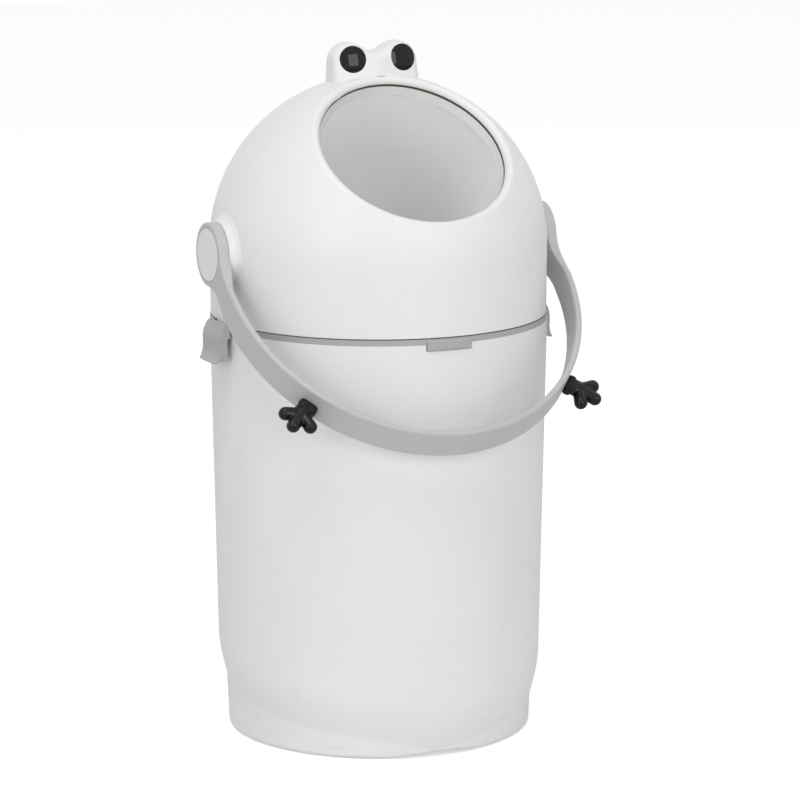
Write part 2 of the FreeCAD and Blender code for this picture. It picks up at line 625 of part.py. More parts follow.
def dome_shell():
    """White head casing with its aperture, bearing bosses, cradle bosses and latch knuckles."""
    rim_z = dome_rim_z()
    outer = dome_profile(DOME_RADIUS, DOME_RIM_RADIUS, rim_z)
    inner = dome_profile(DOME_RADIUS - DOME_WALL, DOME_RIM_RADIUS - DOME_WALL, rim_z)
    seal_back = DRUM_RADIUS + RUN_GAP + DRUM_SEAL_THICKNESS
    collar = Part.makeCylinder(APERTURE_RADIUS + COLLAR_WALL, DOME_RADIUS)
    collar = placed(collar, APERTURE_FRAME).cut(ball(seal_back)).common(outer)
    land_x = DOME_RADIUS + LAND_STAND
    bearing = rod(BUSH_FLANGE_RADIUS + BEARING_MARGIN, bearing_seat_x(), land_x)
    land = Part.makeCone(LAND_RADIUS + LAND_SLOPE, LAND_RADIUS, LAND_DEPTH,
                         Vector(land_x - LAND_DEPTH, 0, PIVOT_Z), X_AXIS)
    bosses = []
    for frame in cradle_screw_frames():
        foot = frame.Base + Vector(0, 0, CRADLE_DECK_THICKNESS)
        boss = Part.makeCylinder(CRADLE_BOSS_RADIUS, CRADLE_BOSS_TOP - foot.z, foot)
        bosses.append(boss.common(outer))
    shell = outer.cut(inner)
    shell = shell.fuse([collar, land, mirrored(land), bearing, mirrored(bearing)] + bosses)
    bore = rod(HUB_RADIUS + BUSH_WALL + SEAT_GAP, 0, 2 * DOME_RADIUS)
    pilots = [placed(pilot_hole(SCREW_LENGTH), frame)
              for frame in cradle_screw_frames() + brow_screw_frames()]
    shell = shell.cut([placed(aperture_tool(), APERTURE_FRAME), bore, mirrored(bore)] + pilots)
    knuckle = latch_knuckle()
    shell = shell.fuse([knuckle, mirrored(knuckle)])
    pin = latch_pin_solid(SHAFT_GAP)
    return shell.cut([pin, mirrored(pin)]).removeSplitter()


def drum_seal():
    """Rubber ring that wipes the drum, in its own frame with the mouth towards +Z."""
    inner = APERTURE_RADIUS + DRUM_SEAL_SET_BACK
    ring = Part.makeCylinder(inner + DRUM_SEAL_WIDTH, DOME_RADIUS)
    ring = ring.cut(Part.makeCylinder(inner, DOME_RADIUS))
    outer = Part.makeSphere(DRUM_RADIUS + RUN_GAP + DRUM_SEAL_THICKNESS)
    return ring.common(outer).cut(Part.makeSphere(DRUM_RADIUS + RUN_GAP))


def drum_cradle():
    """Bowl and deck that close the head under the drum, open at the drum's lower mouth."""
    inside = DRUM_RADIUS + RUN_GAP + DRUM_SEAL_THICKNESS
    outside = inside + CRADLE_WALL
    deck_top = CRADLE_DECK_Z + CRADLE_DECK_THICKNESS
    edge = DOME_RIM_RADIUS - DOME_WALL - RUN_GAP
    deck = lathe([(0, CRADLE_DECK_Z), (edge, CRADLE_DECK_Z), (edge, deck_top), (0, deck_top)])
    reach = 2 * outside
    level = Part.makeBox(2 * reach, 2 * reach, CRADLE_BOWL_TOP, Vector(-reach, -reach, 0))
    bowl = ball(outside).common(level)
    cradle = bowl.fuse(deck).cut(ball(inside))
    mouth = placed(Part.makeCylinder(APERTURE_RADIUS, 2 * DOME_RADIUS), MOUTH_LOW_FRAME)
    holes = [placed(pilot_hole(SCREW_LENGTH), frame) for frame in cradle_screw_frames()]
    reliefs = [placed(Part.makeCylinder(CRADLE_BOSS_RADIUS + RUN_GAP, DOME_RADIUS), frame)
               for frame in cradle_screw_frames()]
    for relief in reliefs:
        relief.translate(Vector(0, 0, CRADLE_DECK_THICKNESS))
    return cradle.cut([mouth] + holes + reliefs).removeSplitter()


def cradle_screws():
    """Screws through the cradle's deck into the dome's bosses."""
    template = screw(SCREW_RADIUS, SCREW_HEAD_RADIUS, SCREW_HEAD_HEIGHT, SCREW_LENGTH)
    return Part.makeCompound([placed(template, frame) for frame in cradle_screw_frames()])


def pivot_bush():
    """Flanged plain bearing in the right side of the dome."""
    seat = bearing_seat_x()
    sleeve = rod(HUB_RADIUS + BUSH_WALL, seat, DOME_RADIUS + LAND_STAND)
    flange = rod(BUSH_FLANGE_RADIUS, seat - BUSH_FLANGE_THICKNESS, seat)
    return sleeve.fuse(flange).cut(rod(HUB_RADIUS + SHAFT_GAP, 0, 2 * DOME_RADIUS)).removeSplitter()


# ---- drum ---------------------------------------------------------------------------------------
def drum_post_frames():
    """Places of the posts that join the drum's halves, along the drum axis."""
    frames = []
    for across in (-1, 1):
        for along in (-1, 1):
            local = Vector(0, across * DRUM_POST_ACROSS, along * DRUM_POST_ALONG)
            frames.append(Placement(APERTURE_FRAME.multVec(local), Rotation(Y_AXIS, 90)))
    return frames


def drum_half():
    """Right half of the drum's ball, with its hub boss and joining posts."""
    boss = rod(HUB_FLANGE_RADIUS + BEARING_MARGIN, HUB_SEAT_X, HUB_FLAT_X)
    posts = [placed(Part.makeCylinder(DRUM_POST_RADIUS, DRUM_RADIUS), frame)
             for frame in drum_post_frames()]
    shell = ball(DRUM_RADIUS).cut(ball(DRUM_RADIUS - DRUM_WALL))
    inside = ball(DRUM_RADIUS - DRUM_WALL / 2)
    shell = shell.fuse([boss.common(ball(DRUM_RADIUS))] + [post.common(inside) for post in posts])
    reach = 2 * DRUM_RADIUS
    half_space = Part.makeBox(reach, 2 * reach, 2 * reach, Vector(0, -reach, PIVOT_Z - reach))
    flat = rod(DRUM_RADIUS, HUB_FLAT_X, 2 * DRUM_RADIUS)
    through = Part.makeCylinder(MOUTH_FLANGE + SEAT_GAP, 2 * reach, Vector(0, 0, -reach))
    bore = rod(HUB_RADIUS + SHAFT_GAP, 0, 2 * DRUM_RADIUS)
    pilots = [placed(pilot_hole(POST_SCREW_REACH), frame) for frame in drum_post_frames()]
    hub_pilots = [placed(pilot_hole(HUB_SCREW_LENGTH), frame) for frame in hub_screw_frames()]
    half = shell.common(half_space)
    cuts = [placed(through, APERTURE_FRAME), flat, bore] + pilots + hub_pilots
    return half.cut(cuts).removeSplitter()


def drum_tube():
    """Smooth tube through the drum in which the piston slides."""
    half = mouth_shoulder()
    tube = lathe([(TUBE_RADIUS, -half), (TUBE_RADIUS + TUBE_WALL, -half),
                  (TUBE_RADIUS + TUBE_WALL, half), (TUBE_RADIUS, half)])
    return placed(tube, APERTURE_FRAME)


def mouth_shoulder():
    """Distance from the drum's centre to the end of its tube."""
    return sphere_height(DRUM_RADIUS, MOUTH_RADIUS) - MOUTH_FUNNEL


def mouth_ring():
    """Funnel ring on the end of the tube, in its own frame with the mouth towards +Z."""
    shoulder = mouth_shoulder()
    socket = TUBE_RADIUS + TUBE_WALL + SEAT_GAP
    tuck = MOUTH_FLANGE + MOUTH_TUCK
    tuck_top = sphere_height(DRUM_RADIUS - DRUM_WALL, tuck) - 2 * SEAT_GAP
    tuck_root = sphere_height(DRUM_RADIUS - DRUM_WALL, MOUTH_FLANGE) - 2 * SEAT_GAP
    return lathe([(MOUTH_THROAT, shoulder), (MOUTH_RADIUS, shoulder + MOUTH_FUNNEL),
                  (MOUTH_FLANGE, sphere_height(DRUM_RADIUS, MOUTH_FLANGE)),
                  (MOUTH_FLANGE, tuck_root), (tuck, tuck_top), (tuck, shoulder - MOUTH_SOCKET),
                  (socket, shoulder - MOUTH_SOCKET), (socket, shoulder)])


def hub_screw_frames():
    """Places of the screws that hold the right hub's flange inside the drum."""
    frames = []
    radius = (HUB_RADIUS + HUB_FLANGE_RADIUS) / 2
    for index in range(HUB_SCREW_COUNT):
        turn = math.radians(360 / HUB_SCREW_COUNT * (index + 0.5))
        place = Vector(HUB_SEAT_X - HUB_FLANGE_THICKNESS, radius * math.cos(turn),
                       radius * math.sin(turn))
        frames.append(Placement(APERTURE_FRAME.multVec(place), Rotation(Y_AXIS, 90)))
    return frames


def drive_solid(gap=0):
    """Square end of the right hub, or the socket for it when a gap is given."""
    size = DRIVE_SIZE + 2 * gap
    block = Part.makeBox(DRIVE_END_X + gap - BOSS_IN, size, size,
                         Vector(BOSS_IN, -size / 2, -size / 2))
    return placed(block, Placement(PIVOT, Rotation(X_AXIS, HANDLE_DROOP)))


def drum_hub():
    """Right trunnion: flange in the drum, journal in the bush, square drive for the handle."""
    flange = rod(HUB_FLANGE_RADIUS, HUB_SEAT_X - HUB_FLANGE_THICKNESS, HUB_SEAT_X)
    journal = rod(HUB_RADIUS, HUB_SEAT_X - HUB_FLANGE_THICKNESS, BOSS_IN)
    hub = flange.fuse([journal, drive_solid()])
    holes = [placed(pilot_hole(HUB_SCREW_LENGTH), frame) for frame in hub_screw_frames()]
    tapped_end = BOSS_OUT - CAP_POCKET - HANDLE_SCREW_LENGTH - TAPPED_RUNOUT
    tapped = rod(HANDLE_SCREW_RADIUS + SEAT_GAP, tapped_end, 2 * DOME_RADIUS)
    return hub.cut(holes + [tapped]).removeSplitter()


def hub_screws():
    """Eight screws, four in each hub's flange."""
    template = screw(SCREW_RADIUS, SCREW_HEAD_RADIUS, SCREW_HEAD_HEIGHT, HUB_SCREW_LENGTH)
    right = Part.makeCompound([placed(template, frame) for frame in hub_screw_frames()])
    return both_sides(right)


def drum_screws():
    """Four headless screws across the drum's joint, inside the posts."""
    pin = Part.makeCylinder(SCREW_RADIUS, 2 * POST_SCREW_REACH, Vector(0, 0, -POST_SCREW_REACH))
    return Part.makeCompound([placed(pin, frame) for frame in drum_post_frames()])


# ---- piston -------------------------------------------------------------------------------------
def piston_frame():
    """Frame of the piston at rest, its lower face just above the lower mouth's lip."""
    return APERTURE_FRAME.multiply(Placement(Vector(0, 0, RUN_GAP - mouth_shoulder()), Rotation()))


def piston_body():
    """Cup of the piston, with two flanges that stop on the mouth lips."""
    inner = PISTON_BODY_RADIUS - PISTON_WALL
    top = PISTON_LENGTH - PISTON_WALL
    cup = lathe([(0, 0), (PISTON_RADIUS, 0), (PISTON_RADIUS, PISTON_WALL),
                 (PISTON_BODY_RADIUS, PISTON_WALL), (PISTON_BODY_RADIUS, top), (inner, top),
                 (inner, PISTON_WALL), (0, PISTON_WALL)])
    return placed(cup, piston_frame())


def piston_cover():
    """Lid of the piston, pushed into the cup."""
    inner = PISTON_BODY_RADIUS - PISTON_WALL - SEAT_GAP
    top = PISTON_LENGTH
    under = top - PISTON_WALL
    foot = under - COVER_SKIRT_DEPTH
    bore = inner - COVER_SKIRT_WALL
    lid = lathe([(0, top), (PISTON_RADIUS, top), (PISTON_RADIUS, under), (inner, under),
                 (inner, foot), (bore, foot), (bore, under), (0, under)])
    return placed(lid, piston_frame())


def piston_ballast():
    """Steel disc on the floor of the cup."""
    top = PISTON_WALL + BALLAST_THICKNESS
    disc = lathe([(BALLAST_BORE, PISTON_WALL), (BALLAST_RADIUS, PISTON_WALL),
                  (BALLAST_RADIUS, top), (BALLAST_BORE, top)])
    return placed(disc, piston_frame())


def piston_seals():
    """Two felt rings round the cup, one by each flange."""
    outer = TUBE_RADIUS - RUN_GAP
    rings = []
    for foot in (PISTON_WALL, PISTON_LENGTH - PISTON_WALL - PISTON_SEAL_HEIGHT):
        inner = PISTON_BODY_RADIUS + SEAT_GAP
        rings.append(lathe([(inner, foot), (outer, foot), (outer, foot + PISTON_SEAL_HEIGHT),
                            (inner, foot + PISTON_SEAL_HEIGHT)]))
    return placed(Part.makeCompound(rings), piston_frame())


# ---- handle -------------------------------------------------------------------------------------
def strap_curve(offset):
    """Half ellipse of the strap's front, offset outwards from its middle line."""
    centre = Vector(0, HANDLE_ARM, 0)
    front = Vector(0, HANDLE_REACH + offset, 0)
    side = Vector(HANDLE_HALF_WIDTH + offset, HANDLE_ARM, 0)
    if front.y - centre.y >= side.x:
        ellipse = Part.Ellipse(front, side, centre)
        return Part.ArcOfEllipse(ellipse, -math.pi / 2, math.pi / 2).toShape()
    ellipse = Part.Ellipse(side, front, centre)
    return Part.ArcOfEllipse(ellipse, 0, math.pi).toShape()


def swept_bend(start, middle, end):
    """Smooth bend through three points that leaves and arrives parallel to the arm."""
    curve = Part.BSplineCurve()
    curve.interpolate(Points=[start, middle, end], InitialTangent=Y_AXIS, FinalTangent=Y_AXIS)
    return curve.toShape()


def flipped(edge):
    """Mirror image of an outline edge on the other arm."""
    return edge.mirror(Vector(), X_AXIS)


def handle_outline():
    """Face of the whole bail seen square on, thick at the bosses and thin along the strap."""
    half = STRAP_THICKNESS / 2
    outer_x = HANDLE_HALF_WIDTH + half
    inner_x = HANDLE_HALF_WIDTH - half
    back = -BOSS_RADIUS - CUT_MARGIN
    outer_start = Vector(BOSS_OUT, BEND_OUTER[0], 0)
    inner_start = Vector(BOSS_IN, BEND_INNER[0], 0)
    outer_bend = swept_bend(outer_start, Vector(BOSS_OUT + BEND_OUTER_SET, BEND_OUTER[1], 0),
                            Vector(outer_x, HANDLE_ARM, 0))
    inner_bend = swept_bend(inner_start, Vector(BOSS_IN + BEND_INNER_SET, BEND_INNER[1], 0),
                            Vector(inner_x, HANDLE_ARM, 0))
    outer_line = Part.makeLine(Vector(BOSS_OUT, back, 0), outer_start)
    inner_line = Part.makeLine(Vector(BOSS_IN, back, 0), inner_start)
    back_line = Part.makeLine(Vector(BOSS_IN, back, 0), Vector(BOSS_OUT, back, 0))
    side = [outer_bend, inner_bend, outer_line, inner_line, back_line]
    edges = side + [flipped(edge) for edge in side] + [strap_curve(half), strap_curve(-half)]
    return Part.Face(Part.Wire(Part.__sortEdges__(edges)))


def handle_side_outline():
    """Face of one arm seen from the side: round boss, waist and parallel strap."""
    leave = math.radians(NECK_LEAVE)
    start = Vector(0, BOSS_RADIUS * math.cos(leave), BOSS_RADIUS * math.sin(leave))
    waist = Vector(0, HANDLE_ARM + NECK_LENGTH, STRAP_WIDTH / 2)
    far = Vector(0, HANDLE_REACH + 2 * STRAP_THICKNESS, STRAP_WIDTH / 2)
    curve = Part.BSplineCurve()
    curve.interpolate(Points=[start, waist], FinalTangent=Y_AXIS,
                      InitialTangent=Vector(0, math.sin(leave), -math.cos(leave)))
    upper = [curve.toShape(), Part.makeLine(waist, far)]
    low_start = Vector(0, start.y, -start.z)
    lower = [edge.mirror(Vector(), Z_AXIS) for edge in upper]
    boss = Part.Arc(start, Vector(0, -BOSS_RADIUS, 0), low_start).toShape()
    end = Part.makeLine(far, Vector(0, far.y, -far.z))
    return Part.Face(Part.Wire(Part.__sortEdges__(upper + lower + [boss, end])))


def handle():
    """Bail of the handle: a curved strap between two round bosses on the hubs."""
    plan = handle_outline().extrude(Vector(0, 0, 4 * BOSS_RADIUS))
    plan.translate(Vector(0, 0, -2 * BOSS_RADIUS))
    side = handle_side_outline().extrude(Vector(4 * HANDLE_HALF_WIDTH, 0, 0))
    side.translate(Vector(-2 * HANDLE_HALF_WIDTH, 0, 0))
    bail = plan.common(side)
    rims = [e for e in bail.Edges if e.Curve.TypeId != "Part::GeomLine"]
    bail = bail.makeChamfer(STRAP_EDGE, rims)
    bail = placed(bail, HANDLE_FRAME)
    pocket = rod(CAP_RADIUS + CAP_GAP, BOSS_OUT - CAP_POCKET, BOSS_OUT + CAP_POCKET)
    hole = rod(HANDLE_SCREW_RADIUS + SEAT_GAP, DOME_RADIUS, BOSS_OUT)
    stud_hole = placed(hand_stud(SEAT_GAP), hand_frame())
    cuts = [pocket, hole, drive_solid(SEAT_GAP), stud_hole]
    return bail.cut(cuts + [mirrored(cut) for cut in cuts]).removeSplitter()


def handle_screws():
    """Two screws along the drum axis, one through each boss into its hub."""
    template = screw(HANDLE_SCREW_RADIUS, HANDLE_SCREW_HEAD_RADIUS, HANDLE_SCREW_HEAD_HEIGHT,
                     HANDLE_SCREW_LENGTH)
    seat = Placement(Vector(BOSS_OUT - CAP_POCKET, 0, PIVOT_Z), Rotation(Y_AXIS, -90))
    return both_sides(placed(template, seat))


def handle_cap():
    """Shallow round cap over the right handle screw."""
    face_x = BOSS_OUT + CAP_STAND
    skirt = rod(CAP_RADIUS, BOSS_OUT - CAP_POCKET, face_x)
    rim = [e for e in skirt.Edges if e.BoundBox.XMin > face_x - CAP_EDGE]
    skirt = skirt.makeChamfer(CAP_EDGE, rim)
    return skirt.cut(rod(CAP_RADIUS - CAP_WALL, 0, face_x - CAP_THICKNESS))


# ---- latches ------------------------------------------------------------------------------------
def latch_pin_solid(gap=0):
    """Steel pin through the right latch's knuckle, or its bore when a gap is given."""
    half = LATCH_HALF_WIDTH - PIN_END_INSET + gap
    start = Vector(LATCH_PIN_X, -half, LATCH_PIN_Z)
    return Part.makeCylinder(LATCH_PIN_RADIUS + gap, 2 * half, start, Y_AXIS)


def latch_face_points():
    """Outer line of the latch's section, from its top edge down to the finger lip."""
    return [Vector(LATCH_TOP_X, 0, LATCH_TOP_Z),
            Vector(LATCH_FACE_X - LATCH_SHOULDER[0], 0, LATCH_TOP_Z - LATCH_SHOULDER[1]),
            Vector(LATCH_FACE_X, 0, LATCH_TOP_Z - LATCH_FACE_DROP),
            Vector(LATCH_FACE_X, 0, LATCH_LIP_Z + LATCH_LIP_HEIGHT),
            Vector(LATCH_LIP_X, 0, LATCH_LIP_Z)]


def latch_curve(inset):
    """B-spline along the latch's face, moved inwards by a distance."""
    face = Part.BSplineCurve()
    face.interpolate(Points=latch_face_points())
    points = []
    span = face.LastParameter - face.FirstParameter
    for step in range(LATCH_STATIONS + 1):
        place = face.FirstParameter + step / LATCH_STATIONS * span
        along = face.tangent(place)[0]
        points.append(face.value(place) + Vector(along.z, 0, -along.x) * inset)
    curve = Part.BSplineCurve()
    curve.interpolate(Points=points)
    return curve


def across(outline, low_y, high_y):
    """Prism between two depths of a closed outline in the bin's middle plane."""
    solid = outline.extrude(Vector(0, high_y - low_y, 0))
    solid.translate(Vector(0, low_y, 0))
    return solid


def polygon(points):
    """Face in the bin's middle plane from (x, z) points."""
    corners = [Vector(x, 0, z) for x, z in points]
    return Part.Face(Part.makePolygon(corners + corners[:1]))


def latch_tongue():
    """Ramped tongue that grips under the catch, with three ribs to the latch's plate."""
    inner = CATCH_X - CATCH_BITE + TONGUE_GAP
    tip = CATCH_X + TONGUE_GAP
    low = CATCH_LOW_Z - TONGUE_TUCK
    high = CATCH_LOW_Z + CATCH_RAMP
    blade = polygon([(inner, low), (inner, CATCH_LOW_Z), (tip, high),
                     (tip + TONGUE_THICKNESS, high), (inner + TONGUE_THICKNESS, CATCH_LOW_Z),
                     (inner + TONGUE_THICKNESS, low)])
    face = latch_curve(LATCH_PLATE / 2)
    rib_low = face.value(face.parameter(Vector(LATCH_LIP_X, 0, low + TONGUE_RIB_BITE)))
    rib_high = face.value(face.parameter(Vector(LATCH_FACE_X, 0, high)))
    root = TONGUE_THICKNESS - TONGUE_RIB_BITE
    rib = polygon([(inner + root, low), (tip + root, high), (rib_high.x, high),
                   (rib_low.x, rib_low.z)])
    solids = [across(blade, -TONGUE_HALF_WIDTH, TONGUE_HALF_WIDTH)]
    outermost = TONGUE_HALF_WIDTH - RIB_THICKNESS / 2
    for middle in (-outermost, 0, outermost):
        solids.append(across(rib, middle - RIB_THICKNESS / 2, middle + RIB_THICKNESS / 2))
    return solids


def latch_front():
    """Rounded shield shape of the latch seen square on, as a prism along X."""
    half = LATCH_HALF_WIDTH
    height = LATCH_TOP_Z - LATCH_LIP_Z + 2 * LATCH_OVERREACH
    slab = Part.makeBox(2 * LATCH_LIP_X, 2 * half, height,
                        Vector(0, -half, LATCH_LIP_Z - LATCH_OVERREACH))
    along = [e for e in slab.Edges if e.BoundBox.XLength > LATCH_LIP_X]
    slab = slab.makeFillet(LATCH_CORNER, [e for e in along if e.BoundBox.ZMax < LATCH_PIN_Z])
    along = [e for e in slab.Edges if e.BoundBox.XLength > LATCH_LIP_X]
    return slab.makeFillet(LATCH_TOP_CORNER, [e for e in along if e.BoundBox.ZMin > LATCH_TOP_Z])


def latch():
    """Right latch: curved plate with a finger lip, side cheeks, hinge ears and a ramped tongue."""
    outer = latch_curve(0)
    inner = latch_curve(LATCH_PLATE)
    ends = [Part.makeLine(outer.StartPoint, inner.StartPoint),
            Part.makeLine(outer.EndPoint, inner.EndPoint)]
    edges = [outer.toShape(), inner.toShape()] + ends
    section = Part.Face(Part.Wire(Part.__sortEdges__(edges)))
    plate = across(section, -LATCH_HALF_WIDTH, LATCH_HALF_WIDTH)
    cheek_x = LATCH_PIN_X + CHEEK_IN
    middle = latch_curve(LATCH_PLATE / 2)
    high = Vector(cheek_x, 0, inner.StartPoint.z)
    low = Vector(cheek_x, 0, inner.EndPoint.z)
    loop = [middle.toShape(), Part.makeLine(middle.StartPoint, high), Part.makeLine(high, low),
            Part.makeLine(low, middle.EndPoint)]
    cheek = Part.Face(Part.Wire(Part.__sortEdges__(loop)))
    solids = latch_tongue()
    for side in (-1, 1):
        inside = side * (LATCH_HALF_WIDTH - CHEEK_THICKNESS)
        rim = side * LATCH_HALF_WIDTH
        ear_root = side * (KNUCKLE_HALF_WIDTH + RUN_GAP)
        solids.append(across(cheek, min(inside, rim), max(inside, rim)))
        start = Vector(LATCH_PIN_X, min(ear_root, rim), LATCH_PIN_Z)
        solids.append(Part.makeCylinder(EAR_RADIUS, abs(rim - ear_root), start, Y_AXIS))
    half_room = KNUCKLE_HALF_WIDTH + RUN_GAP
    room = Part.makeCylinder(KNUCKLE_RADIUS + RUN_GAP, 2 * half_room,
                             Vector(LATCH_PIN_X, -half_room, LATCH_PIN_Z), Y_AXIS)
    slot = Part.makeBox(cheek_x + CHEEK_SLOT_DEPTH, 4 * LATCH_HALF_WIDTH,
                        CHEEK_SLOT_HIGH - CHEEK_SLOT_LOW,
                        Vector(0, -2 * LATCH_HALF_WIDTH, CHEEK_SLOT_LOW))
    between = Part.makeBox(2 * LATCH_LIP_X, 2 * (LATCH_HALF_WIDTH - CHEEK_THICKNESS), LATCH_TOP_Z,
                           Vector(0, CHEEK_THICKNESS - LATCH_HALF_WIDTH, 0))
    whole = plate.fuse(solids).common(latch_front())
    return whole.cut([room, latch_pin_solid(SHAFT_GAP), slot.cut(between)]).removeSplitter()


# ---- eyes ---------------------------------------------------------------------------------------
def eye_frame(side):
    """Frame of one eye, its outward direction along +Z."""
    facing = Rotation(Z_AXIS, side * EYE_SPLAY).multiply(Rotation(X_AXIS, 90 - EYE_RAKE))
    return Placement(Vector(side * EYE_SPACING / 2, EYE_Y, EYE_Z), facing)


def brow_stations(inset):
    """(depth, share of full size) of each section, from front to back."""
    stations = list(BROW_FRONT_SIZES)
    for step in range(BROW_BACK_STEPS + 1):
        turn = math.radians(BROW_BACK_TURN * step)
        stations.append((BROW_BACK_Y + (BROW_BACK_REACH - inset) * math.sin(turn), math.cos(turn)))
    return stations


def brow_half_outline(inset):
    """(across, height) points of the right half, from the valley over the top to the foot."""
    crest = BROW_SPACING / 2
    rise = BROW_CREST_Z + BROW_RADIUS - BROW_VALLEY_Z
    points = []
    for step in range(BROW_CORNER_STEPS):
        share = step / BROW_CORNER_STEPS
        height = BROW_VALLEY_Z + rise * (1 - math.cos(math.pi * share)) / 2
        points.append((crest * share, height - inset))
    for step in range(BROW_CORNER_STEPS + 1):
        turn = math.pi / 2 * (1 - step / BROW_CORNER_STEPS)
        radius = BROW_RADIUS - inset
        points.append((crest + radius * math.cos(turn), BROW_CREST_Z + radius * math.sin(turn)))
    middle_x = (crest + BROW_RADIUS + BROW_HALF_WIDTH) / 2
    points.append((middle_x - inset, (BROW_CREST_Z + BROW_ROOT_Z) / 2))
    points.append((BROW_HALF_WIDTH - inset, BROW_ROOT_Z))
    return points


def brow_section(depth, scale, inset):
    """Closed arch with two rounded tops, at a depth and a share of its full size."""
    half = brow_half_outline(inset)
    outline = [(-across, height) for across, height in half[:0:-1]] + half
    points = [Vector(across * scale, depth, BROW_ROOT_Z + (height - BROW_ROOT_Z) * scale)
              for across, height in outline]
    arch = Part.BSplineCurve()
    arch.interpolate(Points=points)
    return Part.Wire([arch.toShape(), Part.makeLine(points[-1], points[0])])


def brow_solid(inset):
    """Both brows as one soft form, lofted from front to back, thinner by an inset."""
    sections = [brow_section(depth, scale, inset) for depth, scale in brow_stations(inset)]
    return Part.makeLoft(sections, True, False)


def eye_fronts(inset):
    """Everything in front of each eye's plane, on that eye's side of the bin's middle."""
    reach = 2 * DOME_RADIUS
    fronts = []
    for side in (-1, 1):
        slab = Part.makeBox(2 * reach, 2 * reach, reach, Vector(-reach, -reach, -inset))
        half = Part.makeBox(reach, 2 * reach, 2 * reach,
                            Vector((side - 1) / 2 * reach, -reach, EYE_Z - reach))
        fronts.append(placed(slab, eye_frame(side)).common(half))
    return fronts


def brow_casing():
    """The brows' solid cut off at the eyes' two planes, with its front edges rounded."""
    brows = brow_solid(0).cut(eye_fronts(0)).removeSplitter()
    rims = [e for e in brows.Edges if e.BoundBox.ZLength > BROW_CREST_Z - BROW_ROOT_Z
            and e.Curve.TypeId != "Part::GeomLine"]
    return brows.makeFillet(BROW_EDGE, rims)


def eye_mount():
    """White hollow mount of two joined brows, seated on the crown of the dome."""
    brows = brow_casing()
    bosses = []
    recesses = []
    for frame in brow_screw_frames():
        bosses.append(placed(Part.makeCylinder(BROW_BOSS_RADIUS, DOME_RADIUS), frame).common(brows))
        recesses.append(placed(pilot_hole(SCREW_LENGTH), frame))
    for side in (-1, 1):
        back = Part.makeCylinder(EYE_RADIUS + BROW_WALL / 2, BROW_WALL,
                                 Vector(0, 0, -EYE_RECESS - BROW_WALL))
        bosses.append(placed(back, eye_frame(side)).common(brows))
        recess = Part.makeCylinder(EYE_RADIUS + SEAT_GAP, EYE_RADIUS, Vector(0, 0, -EYE_RECESS))
        recesses.append(placed(recess, eye_frame(side)))
    mount = brows.cut(brow_solid(BROW_WALL).cut(eye_fronts(BROW_WALL))).fuse(bosses)
    return mount.cut([ball(DOME_RADIUS)] + recesses).removeSplitter()


def eye_lens(side):
    """Black eye: round disc with a slightly domed front."""
    curve_radius = (EYE_RADIUS ** 2 + EYE_DOMING ** 2) / (2 * EYE_DOMING)
    dome = Part.makeSphere(curve_radius, Vector(0, 0, EYE_DOMING - curve_radius))
    disc = Part.makeCylinder(EYE_RADIUS, EYE_RECESS + EYE_DOMING, Vector(0, 0, -EYE_RECESS))
    return placed(disc.common(dome), eye_frame(side))


def brow_screws():
    """Two screws from inside the dome into the eye mount."""
    template = screw(SCREW_RADIUS, SCREW_HEAD_RADIUS, SCREW_HEAD_HEIGHT, SCREW_LENGTH)
    return Part.makeCompound([placed(template, frame) for frame in brow_screw_frames()])


# ---- hands --------------------------------------------------------------------------------------
def hand_frame():
    """Frame on the right of the strap's outer face: outwards +X, forwards along the strap +Y."""
    turn = math.radians(HAND_STATION)
    depth = HANDLE_REACH - HANDLE_ARM
    outward = Vector(depth * math.cos(turn), HANDLE_HALF_WIDTH * math.sin(turn), 0).normalize()
    base = Vector(HANDLE_HALF_WIDTH * math.cos(turn), HANDLE_ARM + depth * math.sin(turn),
                  HAND_DROP)
    place = Placement(base + outward * (STRAP_THICKNESS / 2), Rotation(X_AXIS, outward))
    return HANDLE_FRAME.multiply(place)


def hand_stud(gap=0):
    """Press stud behind the wrist, or its blind hole in the strap when a gap is given."""
    return Part.makeCylinder(STUD_RADIUS + gap, WRIST_DEPTH + STUD_LENGTH + gap,
                             Vector(WRIST_DEPTH, 0, 0), -X_AXIS)


def strap_prism(offset):
    """Everything inside the strap's front curve, offset outwards, in the bin's frame."""
    chord = Part.makeLine(Vector(-HANDLE_HALF_WIDTH - offset, HANDLE_ARM, 0),
                          Vector(HANDLE_HALF_WIDTH + offset, HANDLE_ARM, 0))
    face = Part.Face(Part.Wire(Part.__sortEdges__([strap_curve(offset), chord])))
    prism = face.extrude(Vector(0, 0, 4 * BOSS_RADIUS))
    prism.translate(Vector(0, 0, -2 * BOSS_RADIUS))
    return placed(prism, HANDLE_FRAME)


